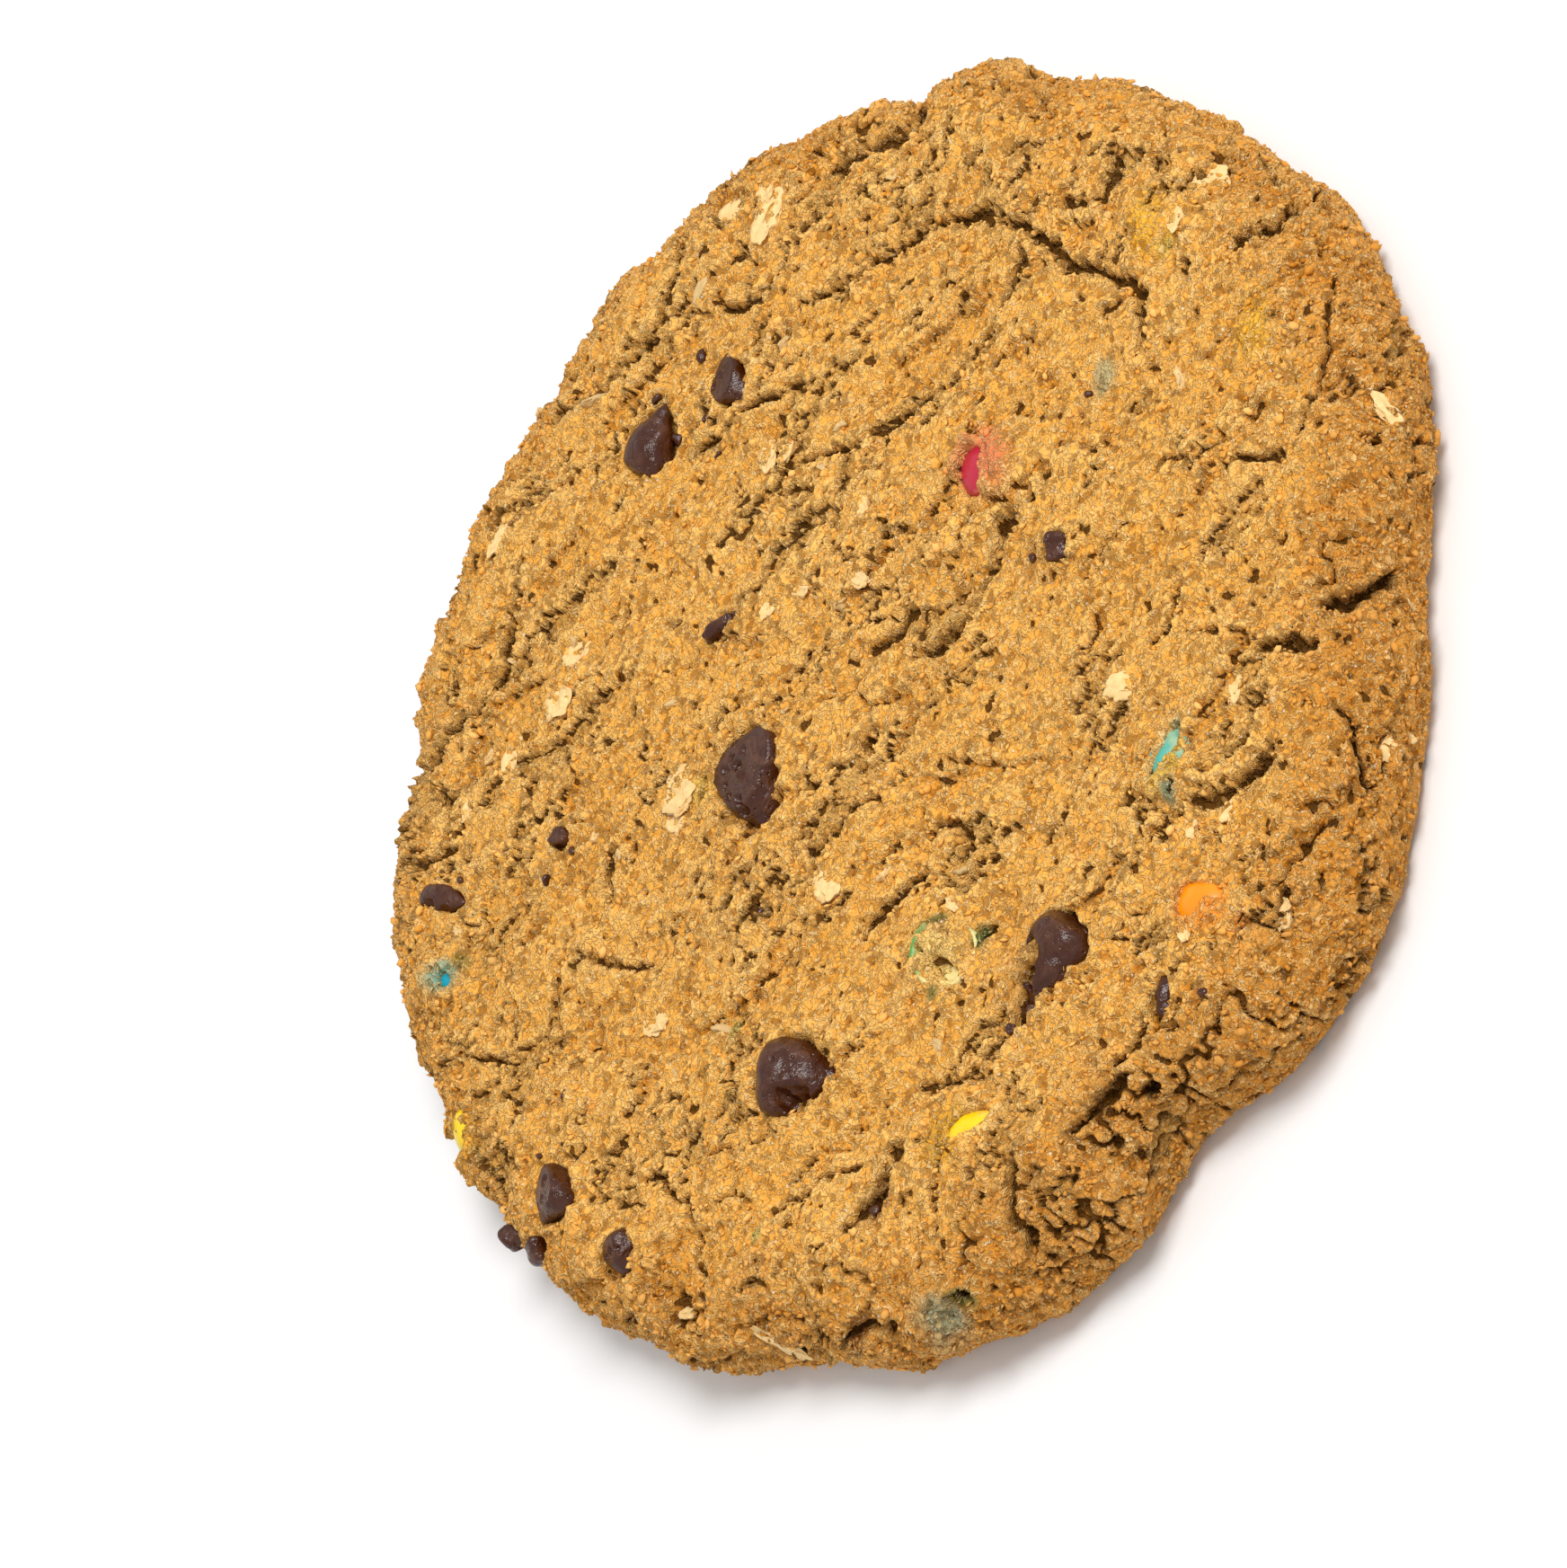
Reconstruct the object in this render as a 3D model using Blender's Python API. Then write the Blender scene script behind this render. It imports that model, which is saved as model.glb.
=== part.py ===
"""A large oatmeal cookie with chocolate chips and sugar-shelled chocolate lentils, lying on its flat base.

Metres, +Z up. The origin is the middle of the base. The long runs of the broken crust lie along X, and the
side that was nearest to the edge of the tray, with the highest bare wall, faces -Y.

The dough is one solid: a turned profile whose radius waves round the rim, with the fissures, hollows and
lumps of a torn crust worked into it, rolled oats fused to its top, and a pocket cut for each inclusion.
"""

import math

import bmesh
import bpy
import numpy as np
from mathutils import Matrix, Vector

MM = 0.001

# The cookie as a whole, in millimetres
RADIUS = 59.4
TOP_LEVEL = 12.2
WIDEST_LEVEL = 5.2
SHOULDER_RUN = 9.5
SHOULDER_POWER = 2.3
UNDERCUT_RUN = 3.2
DOME_RISE = 0.5
BEND_SHARE = 0.8
BASE_FADE = 2.6
POCKET_GAP = 0.3
DOUGH_FACES = 6000
ICOSPHERE_STEPS = 7

# Places on the top are given as they are seen from this point in front of and above the cookie, on the
# level SEEN_LEVEL, so that a place on the near wall needs no height of its own.
SEEN_FROM = (0.0, -438.8, 416.2)
SEEN_LEVEL = 12.0

# Waves of the rim: direction in degrees from +X, spread in degrees, rise in millimetres
RIM_WAVES = (
    (50, 15, 1.6),
    (24, 4, -1.2),
    (17, 5, 1.2),
    (112, 4, -1.6),
    (131, 12, 1.6),
    (203, 8, -2.0),
    (226, 8, 0.9),
    (246, 7, -3.4),
    (268, 12, 1.8),
    (297, 10, -2.4),
    (331, 9, 0.8),
)

# Fissures of the crust: start, end, bow to the left, half width, depth
FISSURES = (
    ((-21.5, 49.0), (-1.0, 46.7), -2.0, 0.8, 2.2),
    ((-1.5, 50.5), (10.5, 47.3), 1.0, 0.6, 1.6),
    ((13.5, 52.0), (32.5, 44.5), -4.6, 0.7, 2.0),
    ((-30.5, 45.0), (-22.5, 46.5), -2.8, 0.6, 1.5),
    ((14.5, 31.5), (24.2, 21.5), 0.8, 0.7, 2.0),
    ((28.5, 35.5), (36.0, 29.9), -2.0, 0.7, 1.7),
    ((36.0, 30.0), (44.5, 28.0), -1.5, 0.8, 2.2),
    ((44.0, 29.5), (51.0, 21.0), -0.5, 1.3, 2.2),
    ((30.8, 26.0), (42.5, 14.6), -1.0, 0.7, 1.8),
    ((17.2, 17.5), (28.0, 5.3), -1.2, 0.7, 1.8),
    ((28.5, 3.8), (41.5, 1.6), -1.0, 0.7, 1.7),
    ((41.5, 14.0), (42.3, -4.0), 2.3, 0.8, 2.2),
    ((42.3, -4.0), (41.6, -15.0), 0.4, 0.8, 2.0),
    ((47.0, -0.5), (52.5, -5.0), -2.5, 0.7, 1.6),
    ((4.3, 0.5), (9.0, -2.7), -0.8, 0.8, 1.6),
    ((5.8, -6.0), (19.5, -10.5), -1.8, 1.0, 3.2),
    ((-8.0, -16.2), (-7.8, -22.0), 1.2, 0.7, 1.6),
    ((-18.3, -14.0), (-11.5, -18.0), 0.6, 0.8, 2.0),
    ((-14.0, -3.3), (-8.5, -6.8), -1.0, 0.7, 1.5),
    ((-45.7, -1.0), (-50.0, -9.5), 2.0, 0.7, 1.7),
    ((-44.5, 30.5), (-42.5, 22.0), 0.3, 0.6, 1.4),
    ((-25.0, 18.7), (-21.5, 21.0), 0.0, 0.9, 2.6),
    ((-42.0, -25.8), (-33.3, -28.3), -0.8, 0.9, 2.4),
    ((-50.5, -31.0), (-48.0, -36.0), 0.5, 0.8, 2.0),
    ((-28.5, -27.5), (-25.0, -33.0), 0.0, 0.6, 1.4),
    ((-31.0, -41.0), (-36.3, -50.3), -2.0, 0.8, 2.3),
    ((-26.0, -46.0), (-20.8, -49.7), 0.0, 0.7, 1.9),
    ((2.8, -43.8), (9.0, -49.7), -0.8, 0.9, 2.0),
    ((17.0, -44.5), (18.8, -50.0), 0.0, 0.9, 2.2),
    ((21.5, -50.0), (26.3, -56.0), 0.0, 1.0, 3.0),
    ((14.6, -55.0), (9.8, -62.5), 0.5, 0.6, 1.6),
    ((30.5, -32.0), (32.8, -37.5), 0.0, 0.7, 1.8),
    ((38.0, -17.2), (41.0, -15.0), 0.0, 0.8, 2.2),
    ((48.3, -23.5), (52.2, -29.0), 0.0, 0.8, 2.2),
)

# Lumps and hollows of the top: place, half length along X, half length along Y, rise (down if negative)
SWELLS = (
    ((-7.0, 50.5), 9.0, 4.0, 1.3),
    ((24.0, 48.0), 7.5, 3.8, 1.3),
    ((-26.0, 46.5), 4.5, 3.5, 0.9),
    ((52.0, 17.5), 4.0, 4.0, 1.1),
    ((50.0, 5.0), 5.0, 9.0, 0.6),
    ((47.5, -12.0), 4.0, 3.4, 0.9),
    ((42.3, -29.7), 4.5, 4.0, 1.0),
    ((33.0, -46.5), 7.0, 4.5, 0.9),
    ((9.5, -55.0), 5.5, 5.0, 1.0),
    ((-7.0, -58.0), 8.0, 6.0, 1.0),
    ((-31.0, -37.0), 5.5, 3.5, 1.0),
    ((-30.0, -50.0), 5.0, 5.5, 1.1),
    ((-44.5, -23.5), 6.0, 5.0, 0.9),
    ((-55.0, 3.0), 3.5, 6.0, 0.8),
    ((-3.7, -5.1), 1.6, 0.9, -3.6),
    ((2.0, 7.0), 4.5, 2.4, -0.9),
    ((7.0, 1.5), 2.8, 4.0, -0.8),
    ((-28.5, 12.0), 1.8, 3.6, -0.8),
    ((14.0, 34.0), 4.0, 1.8, -0.8),
    ((12.0, -8.6), 5.0, 1.8, -1.0),
    ((-12.3, -29.0), 2.2, 3.2, -0.9),
    ((6.5, -47.5), 3.2, 2.4, -1.1),
    ((32.5, -35.5), 2.2, 3.2, -0.8),
)

# Rolled oats that show on the top: place, length, width, direction of the length in degrees
OATS = (
    ((-13.6, 15.5), 4.6, 3.6, 70),
    ((-16.2, 14.6), 3.8, 2.2, 80),
    ((-22.4, 41.6), 3.6, 2.4, 25),
    ((0.6, 52.5), 3.4, 2.2, -15),
    ((37.2, 39.4), 4.8, 3.2, -25),
    ((37.6, 34.8), 4.8, 3.0, 15),
    ((-17.6, 38.4), 4.4, 2.0, 20),
    ((-10.9, 35.6), 3.4, 3.0, 60),
    ((-6.0, 35.9), 3.6, 2.2, -40),
    ((-33.3, 6.8), 4.2, 2.6, 95),
    ((-15.6, -7.2), 3.4, 3.2, 30),
    ((-53.2, -23.6), 5.4, 2.0, 68),
    ((53.2, -16.8), 4.4, 2.8, 95),
    ((10.0, -31.4), 3.8, 2.4, -50),
    ((3.6, -49.2), 3.6, 1.8, -20),
    ((39.0, -47.8), 3.4, 2.0, 75),
    ((17.0, 21.8), 3.4, 2.0, 40),
    ((9.9, 4.4), 4.6, 1.4, 85),
)
OAT_THICKNESS = 1.3
OAT_DEPTH = 0.16

# What is baked into the crust. Each has its place, how deep its middle lies, and then its own form.
# Chips: width of the base, length to the tip, direction of the tip, dip of the tip, in degrees
CHIPS = {
    "chip_centre": ((-9.4, 8.9), 0.9, 8.0, 9.6, 240, 12),
    "chip_near": ((-32.4, -11.8), 0.9, 7.6, 7.6, 292, 28),
    "chip_tucked": ((-12.7, -35.3), 1.4, 6.2, 10.0, 168, 8),
    "chip_far": ((13.9, 37.9), 0.5, 5.8, 6.0, 12, 10),
    "chip_far_small": ((22.2, 31.3), 0.6, 4.6, 5.2, 262, 24),
    "chip_left": ((-50.8, 11.2), 0.6, 5.6, 6.0, 300, 20),
    "chip_left_small": ((-52.8, -0.2), 0.7, 3.8, 4.8, 235, 18),
    "chip_far_left": ((-32.4, 41.6), 0.5, 3.0, 6.2, 282, 6),
}

# Broken bits of chocolate: length, width, height, direction of the length in degrees
CHIP_BITS = {
    "bit_corner": ((18.6, -17.6), 0.4, 2.7, 2.5, 2.6, 20),
    "bit_rim_low": ((-56.2, 9.3), 0.4, 2.6, 2.2, 2.4, 30),
    "bit_rim_high": ((-56.4, 13.0), 0.5, 2.4, 2.1, 2.3, 80),
    "bit_pair": ((-22.0, 28.1), 0.4, 2.6, 1.9, 2.2, 110),
    "bit_sliver": ((1.3, 19.1), 0.5, 3.8, 1.3, 2.2, -35),
    "bit_in_gap": ((-12.9, -49.6), 1.3, 4.0, 2.0, 2.6, 20),
}

# Lentils: width, thickness, direction and tilt of the axis in degrees
LENTILS = {
    "lentil_red": ((23.6, -4.4), 1.3, 6.4, 4.4, 170, 8),
    "lentil_yellow_rim": ((-50.4, 24.0), 1.4, 6.4, 4.2, 155, 25),
    "lentil_yellow": ((-29.9, -34.8), 1.65, 6.4, 4.2, -35, 14),
    "lentil_orange": ((-4.6, -49.8), 1.75, 6.4, 4.4, 95, 14),
    "lentil_green": ((-17.0, -23.6), 1.1, 7.0, 3.4, 20, 4),
    "lentil_blue": ((-37.9, 35.9), 1.7, 6.0, 4.0, 120, 12),
    "lentil_teal": ((5.6, -39.4), 1.6, 6.6, 4.2, 100, 10),
    "lentil_blue_near": ((-44.2, -39.6), 1.6, 6.2, 4.2, -10, 12),
}

# A chip's half width along its length, as shares, and how far it has slumped in the oven
CHIP_PROFILE = ((0.02, 0.62), (0.08, 0.9), (0.22, 1.0), (0.42, 0.93), (0.62, 0.7), (0.8, 0.4), (0.93, 0.2))
CHIP_SLUMP = 0.66
CHIP_SIDES = 12
LENTIL_SIDES = 14
LENTIL_RINGS = 6

# Colours, as linear red, green, blue and roughness
CRUST = (0.62, 0.34, 0.09, 0.8)
CHOCOLATE = (0.035, 0.012, 0.008, 0.35)
SHELLS = {
    "red": (0.6, 0.03, 0.05, 0.35),
    "yellow": (0.85, 0.55, 0.01, 0.35),
    "orange": (0.9, 0.25, 0.01, 0.35),
    "green": (0.1, 0.35, 0.1, 0.35),
    "blue": (0.02, 0.35, 0.5, 0.35),
    "teal": (0.02, 0.33, 0.36, 0.35),
}


# ---------------------------------------------------------------- smooth noise
def lattice(ix, iy, iz, seed):
    """A number from 0 to 1 for each whole-number point of a lattice."""
    h = ix * 73856093 ^ iy * 19349663 ^ iz * 83492791 ^ seed * 668265263
    h = (h ^ (h >> 15)) * 2246822519 & 0xFFFFFFFF
    h = (h ^ (h >> 13)) * 3266489917 & 0xFFFFFFFF
    return (h ^ (h >> 16)) / 4294967295.0


def noise(points, size, seed):
    """Smooth noise from -1 to 1, with lumps of this size in millimetres."""
    p = points / size + 311.7
    cell = np.floor(p).astype(np.int64)
    f = p - cell
    f = f * f * f * (f * (f * 6 - 15) + 10)
    total = np.zeros(len(points))
    for corner in np.ndindex(2, 2, 2):
        weight = np.prod([f[:, k] if c else 1 - f[:, k] for k, c in enumerate(corner)], axis=0)
        total += weight * lattice(*(cell + np.array(corner)).T, seed)
    return total * 2 - 1


def rough(points, size, octaves, seed):
    """Noise of several sizes, each half the one before in size and height."""
    return sum(noise(points, size / 2**k, seed + k) / 2**k for k in range(octaves))


def smooth_step(low, high, value):
    """0 below low, 1 above high, and smooth between them."""
    t = np.clip((value - low) / (high - low), 0, 1)
    return t * t * (3 - 2 * t)


# ---------------------------------------------------------------- the form of the dough
def rim_radius(turn):
    """Radius of the widest outline in the direction turn, in radians."""
    radius = np.full_like(turn, RADIUS)
    for degrees, spread, rise in RIM_WAVES:
        away = np.degrees(np.angle(np.exp(1j * (turn - math.radians(degrees)))))
        radius += rise * np.exp(-((away / spread) ** 2))
    return radius


def profile(share, top):
    """Reach, level and normal (outward, upward) of the smooth profile.

    share runs from 0 in the middle to 1 at the widest level, over the top or over the base.
    """
    run = SHOULDER_RUN if top else UNDERCUT_RUN
    rise = TOP_LEVEL - WIDEST_LEVEL if top else -WIDEST_LEVEL
    power = SHOULDER_POWER if top else 2.0
    flat = 1 - BEND_SHARE * (run + abs(rise)) / RADIUS
    turn = np.clip((share - flat) / (1 - flat), 0, 1) * math.pi / 2
    out = np.sin(turn) ** (2 / power)
    up = np.cos(turn) ** (2 / power)
    reach = np.minimum(share / flat, 1) * (1 - run / RADIUS) + out * run / RADIUS
    normal = np.stack([out ** (power - 1) / run, up ** (power - 1) / rise])
    return reach, WIDEST_LEVEL + rise * up, normal / np.linalg.norm(normal, axis=0)


def bowed(start, end, bow, steps=9):
    """Points along a line from start to end that bows to its left."""
    a, b = np.array(start), np.array(end)
    left = np.array([a[1] - b[1], b[0] - a[0]]) / np.linalg.norm(b - a)
    t = np.linspace(0, 1, steps)[:, None]
    return a + (b - a) * t + left * bow * 4 * t * (1 - t)


def away_from(path, xy):
    """Distance of each point from a path of straight stretches."""
    nearest = np.full(len(xy), np.inf)
    for a, b in zip(path[:-1], path[1:]):
        t = np.clip((xy - a) @ (b - a) / ((b - a) @ (b - a)), 0, 1)
        nearest = np.minimum(nearest, np.linalg.norm(xy - a - t[:, None] * (b - a), axis=1))
    return nearest


def seen_place(points):
    """Where each point is seen on the level of the top."""
    eye = np.array(SEEN_FROM)
    scale = (eye[2] - SEEN_LEVEL) / (eye[2] - points[:, 2])
    return eye[:2] + (points[:, :2] - eye[:2]) * scale[:, None]


def relief(points):
    """How far the crust stands out at each point of the smooth form, in millimetres."""
    xy = seen_place(points)
    ragged = np.stack([noise(points, 2.6, 5), noise(points, 2.6, 6)], axis=1) * 0.5
    on_wall = 1 - smooth_step(WIDEST_LEVEL, TOP_LEVEL, points[:, 2])
    height = rough(points, 16.0, 2, 11) * 0.5 + rough(points, 6.0, 2, 21) * (0.55 + 0.3 * on_wall)
    for place, along_x, along_y, rise in SWELLS:
        away = np.hypot((xy[:, 0] - place[0]) / along_x, (xy[:, 1] - place[1]) / along_y)
        height += rise * np.exp(-(away**2))
    for start, end, bow, half_width, depth in FISSURES:
        away = away_from(bowed(start, end, bow), xy + ragged)
        height -= depth * (1 - smooth_step(half_width * 0.3, half_width * 1.7, away))
    return height * smooth_step(0.0, BASE_FADE, points[:, 2])


def crust_under(place):
    """Where the line of sight to this place meets the crust, and the normal of the smooth form there."""
    eye = np.array(SEEN_FROM)
    level = np.linspace(TOP_LEVEL + DOME_RISE + 2.5, WIDEST_LEVEL, 600)
    scale = (eye[2] - level) / (eye[2] - SEEN_LEVEL)
    spots = eye[:2] + (np.array(place) - eye[:2]) * scale[:, None]
    turn = np.arctan2(spots[:, 1], spots[:, 0])
    reach = np.hypot(spots[:, 0], spots[:, 1]) / rim_radius(turn)
    out = np.clip(1 - (1 - reach) * RADIUS / SHOULDER_RUN, 0, 1)
    up = (1 - out**SHOULDER_POWER) ** (1 / SHOULDER_POWER)
    rise = TOP_LEVEL - WIDEST_LEVEL
    smooth = WIDEST_LEVEL + rise * up + DOME_RISE * (1 - reach**2)
    surface = smooth + relief(np.column_stack([spots, smooth])) * up
    gap = np.where(reach < 1, level - surface, (reach - 1) * RADIUS + 0.01)
    k = np.argmax(gap <= 0) if (gap <= 0).any() else np.argmin(gap)
    outward = out[k] ** (SHOULDER_POWER - 1) / SHOULDER_RUN
    upward = up[k] ** (SHOULDER_POWER - 1) / rise
    normal = Vector((outward * math.cos(turn[k]), outward * math.sin(turn[k]), upward))
    return Vector((*spots[k], level[k])), normal.normalized()


# ---------------------------------------------------------------- Blender objects
def finish(name, red, green, blue, roughness):
    """A plain material for one kind of piece."""
    material = bpy.data.materials.new(name)
    material.use_nodes = True
    shader = material.node_tree.nodes["Principled BSDF"]
    shader.inputs["Base Color"].default_value = (red, green, blue, 1)
    shader.inputs["Roughness"].default_value = roughness
    shader.inputs["Metallic"].default_value = 0
    return material


def add_object(name, bm, material):
    """Turns a bmesh in millimetres into a named object in metres."""
    bmesh.ops.scale(bm, vec=(MM, MM, MM), verts=bm.verts)
    mesh = bpy.data.meshes.new(name)
    bm.to_mesh(mesh)
    bm.free()
    mesh.materials.append(material)
    mesh.shade_smooth()
    placed = bpy.data.objects.new(name, mesh)
    bpy.context.scene.collection.objects.link(placed)
    return placed


def apply_modifiers(target):
    """Replaces the object's mesh by the one that its modifiers give."""
    graph = bpy.context.evaluated_depsgraph_get()
    made = bpy.data.meshes.new_from_object(target.evaluated_get(graph))
    target.modifiers.clear()
    target.data = made


def join_by(target, operation, helpers):
    """Adds or cuts all helpers at once, and removes them."""
    group = bpy.data.collections.new("helpers")
    bpy.context.scene.collection.children.link(group)
    for helper in helpers:
        bpy.context.scene.collection.objects.unlink(helper)
        group.objects.link(helper)
    boolean = target.modifiers.new(operation.lower(), "BOOLEAN")
    boolean.operation = operation
    boolean.operand_type = "COLLECTION"
    boolean.collection = group
    boolean.solver = "EXACT"
    apply_modifiers(target)
    for helper in helpers:
        bpy.data.objects.remove(helper)
    bpy.data.collections.remove(group)


def dough(material):
    """The baked dough before its oats and pockets: an icosphere drawn out to the cookie's form."""
    bm = bmesh.new()
    bmesh.ops.create_icosphere(bm, subdivisions=ICOSPHERE_STEPS, radius=1)
    ball = np.array([v.co for v in bm.verts])
    turn = np.arctan2(ball[:, 1], ball[:, 0])
    top = ball[:, 2] >= 0
    share = np.sqrt(np.clip(1 - np.abs(ball[:, 2]), 0, 1))
    upper, lower = profile(share, True), profile(share, False)
    reach, level, (out, up) = (np.where(top, a, b) for a, b in zip(upper, lower))
    radius = rim_radius(turn) * reach
    level += np.where(top, DOME_RISE * (1 - reach**2), 0)
    smooth = np.column_stack([radius * np.cos(turn), radius * np.sin(turn), level])
    normal = np.column_stack([out * np.cos(turn), out * np.sin(turn), up])
    for vert, place in zip(bm.verts, smooth + normal * relief(smooth)[:, None]):
        vert.co = place
    made = add_object("dough", bm, material)
    thin_out = made.modifiers.new("thin_out", "DECIMATE")
    thin_out.ratio = DOUGH_FACES / len(made.data.polygons)
    apply_modifiers(made)
    return made


def set_in_crust(name, bm, place, depth, material):
    """Adds a piece made on level ground, leaned with the crust, its middle this deep under a place."""
    spot, normal = crust_under(place)
    piece = add_object(name, bm, material)
    piece.location = (spot - normal * depth) * MM
    piece.rotation_mode = "QUATERNION"
    piece.rotation_quaternion = Vector((0, 0, 1)).rotation_difference(normal)
    return piece


def turned_body(outline, sides):
    """A solid turned about Z from (radius, height) points, whose ends lie on the axis."""
    bm = bmesh.new()
    rings = []
    for radius, height in outline:
        count = sides if radius > 0 else 1
        turns = [2 * math.pi * k / count for k in range(count)]
        rings.append([bm.verts.new((radius * math.cos(a), radius * math.sin(a), height)) for a in turns])
    for low, high in zip(rings[:-1], rings[1:]):
        for k in range(sides):
            corners = [low[k % len(low)], low[(k + 1) % len(low)]]
            corners += [high[(k + 1) % len(high)], high[k % len(high)]]
            bm.faces.new(list(dict.fromkeys(corners)))
    bmesh.ops.recalc_face_normals(bm, faces=bm.faces)
    return bm


def turned(degrees, axis):
    """A turn about one axis."""
    return Matrix.Rotation(math.radians(degrees), 4, axis)


def chip(width, length, tip_turn, dip, grow=0.0):
    """A chocolate drop lying on its side: a round base that draws in to a blunt tip."""
    outline = [(0.0, -grow)]
    outline += [(width / 2 * swell + grow, length * share) for share, swell in CHIP_PROFILE]
    outline.append((0.0, length + grow))
    bm = turned_body(outline, CHIP_SIDES)
    middle = Matrix.Translation(Vector((0, 0, -length * 0.42)))
    slump = Matrix.Diagonal((1, 1, CHIP_SLUMP, 1))
    lying = slump @ turned(tip_turn, "Z") @ turned(90 + dip, "Y") @ middle
    bmesh.ops.transform(bm, matrix=lying, verts=bm.verts)
    return bm


def chip_bit(length, width, height, turn, grow=0.0):
    """A broken bit of chocolate: a block with its corners knocked off."""
    bm = bmesh.new()
    bmesh.ops.create_cube(bm, size=1)
    bmesh.ops.scale(bm, vec=(length, width, height), verts=bm.verts)
    bmesh.ops.bevel(bm, geom=list(bm.edges), offset=width * 0.2, segments=1, affect="EDGES")
    bmesh.ops.scale(bm, vec=[1 + 2 * grow / size for size in (length, width, height)], verts=bm.verts)
    bmesh.ops.transform(bm, matrix=turned(turn, "Z") @ turned(12, "X"), verts=bm.verts)
    return bm


def lentil(width, thickness, turn, tilt, grow=0.0):
    """A sugar-shelled lentil: a ball pressed flat along its axis."""
    wide, thick = width / 2 + grow, thickness / 2 + grow
    inner = [math.pi * k / LENTIL_RINGS for k in range(1, LENTIL_RINGS)]
    outline = [(0.0, -thick), *((wide * math.sin(a), -thick * math.cos(a)) for a in inner), (0.0, thick)]
    bm = turned_body(outline, LENTIL_SIDES)
    bmesh.ops.transform(bm, matrix=turned(turn, "Z") @ turned(tilt, "Y"), verts=bm.verts)
    return bm


def oat(length, width, turn):
    """A rolled oat: a flat oval with one side a little up."""
    bm = bmesh.new()
    bmesh.ops.create_icosphere(bm, subdivisions=2, radius=0.5)
    bmesh.ops.scale(bm, vec=(length, width, OAT_THICKNESS), verts=bm.verts)
    bmesh.ops.transform(bm, matrix=turned(turn, "Z") @ turned(10, "Y"), verts=bm.verts)
    return bm


def add_inclusions(chocolate, shells, prefix="", grow=0.0):
    """Adds every chip, bit of chocolate and lentil, or its pocket if they are grown."""
    pieces = []
    for shape, group in ((chip, CHIPS), (chip_bit, CHIP_BITS), (lentil, LENTILS)):
        for name, (place, depth, *form) in group.items():
            material = shells[name.split("_")[1]] if shape is lentil else chocolate
            pieces.append(set_in_crust(prefix + name, shape(*form, grow=grow), place, depth, material))
    return pieces


def main():
    for old in list(bpy.data.objects):
        bpy.data.objects.remove(old)
    crust = finish("baked_dough", *CRUST)
    chocolate = finish("chocolate", *CHOCOLATE)
    shells = {colour: finish(f"shell_{colour}", *look) for colour, look in SHELLS.items()}
    body = dough(crust)
    oats = [
        set_in_crust(f"oat_{k}", oat(*form), place, OAT_DEPTH, crust)
        for k, (place, *form) in enumerate(OATS)
    ]
    join_by(body, "UNION", oats)
    join_by(body, "DIFFERENCE", add_inclusions(chocolate, shells, "pocket_", POCKET_GAP))
    add_inclusions(chocolate, shells)


main()
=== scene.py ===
"""Looks of a large oatmeal cookie with chocolate chips and sugar-shelled lentils, on a pale table.

The crust is one skin in rings over a flat base, raised from a smooth turned form by the same lumps and
fissures as the CAD solid, with torn plates, creases, hollows, pinholes and crumb worked in. Each vertex keeps
its baked tone, with light painted on raised places and shade painted in dips, cracks and pinholes, and how
deep it lies in a crack's painted shadow, and the crust's finish reads both. Chips, bits of chocolate,
lentils, oats and crumbs are meshes of their own. Sizes are in millimetres until a mesh is made, and then in
metres.
"""

import logging
import math
from dataclasses import dataclass, field
from enum import Enum
from typing import Iterable, Sequence, Union

import bmesh
import bpy
import numpy as np
from bpy.types import Material, NodeSocket, Object
from mathutils import Matrix, Vector


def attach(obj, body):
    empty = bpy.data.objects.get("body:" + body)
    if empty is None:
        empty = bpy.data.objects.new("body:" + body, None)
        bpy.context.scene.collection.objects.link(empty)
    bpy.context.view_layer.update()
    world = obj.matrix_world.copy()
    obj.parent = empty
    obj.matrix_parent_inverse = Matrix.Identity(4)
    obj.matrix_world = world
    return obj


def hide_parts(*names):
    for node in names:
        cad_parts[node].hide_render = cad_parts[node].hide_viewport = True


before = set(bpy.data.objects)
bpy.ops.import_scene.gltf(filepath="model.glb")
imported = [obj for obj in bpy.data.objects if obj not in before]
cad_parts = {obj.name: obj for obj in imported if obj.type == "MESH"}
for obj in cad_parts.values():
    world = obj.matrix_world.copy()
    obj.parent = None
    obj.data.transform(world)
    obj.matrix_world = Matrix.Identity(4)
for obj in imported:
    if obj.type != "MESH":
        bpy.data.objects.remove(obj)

LOG = logging.getLogger("cookie")
MM = 0.001

Array = np.ndarray
Place = tuple[float, float]
Colour = tuple[float, float, float]
Plugged = Union["Wire", float, Sequence[float], None]


# ---- noise and small sums
def smooth_step(low: float, high: float, value: Array) -> Array:
    """0 below low, 1 above high, and smooth between them."""
    t = np.clip((value - low) / (high - low), 0, 1)
    return t * t * (3 - 2 * t)


def lattice(cell: Array, seed: int) -> Array:
    """A number from 0 to 1 for each whole-number point of a lattice.

    Args:
        cell: whole-number points, one a row.
        seed: which lattice.

    Returns:
        One number for each point.
    """
    h = cell[:, 0] * 73856093 ^ cell[:, 1] * 19349663 ^ cell[:, 2] * 83492791 ^ seed * 668265263
    h = (h ^ (h >> 15)) * 2246822519 & 0xFFFFFFFF
    h = (h ^ (h >> 13)) * 3266489917 & 0xFFFFFFFF
    return (h ^ (h >> 16)) / 4294967295.0


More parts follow.
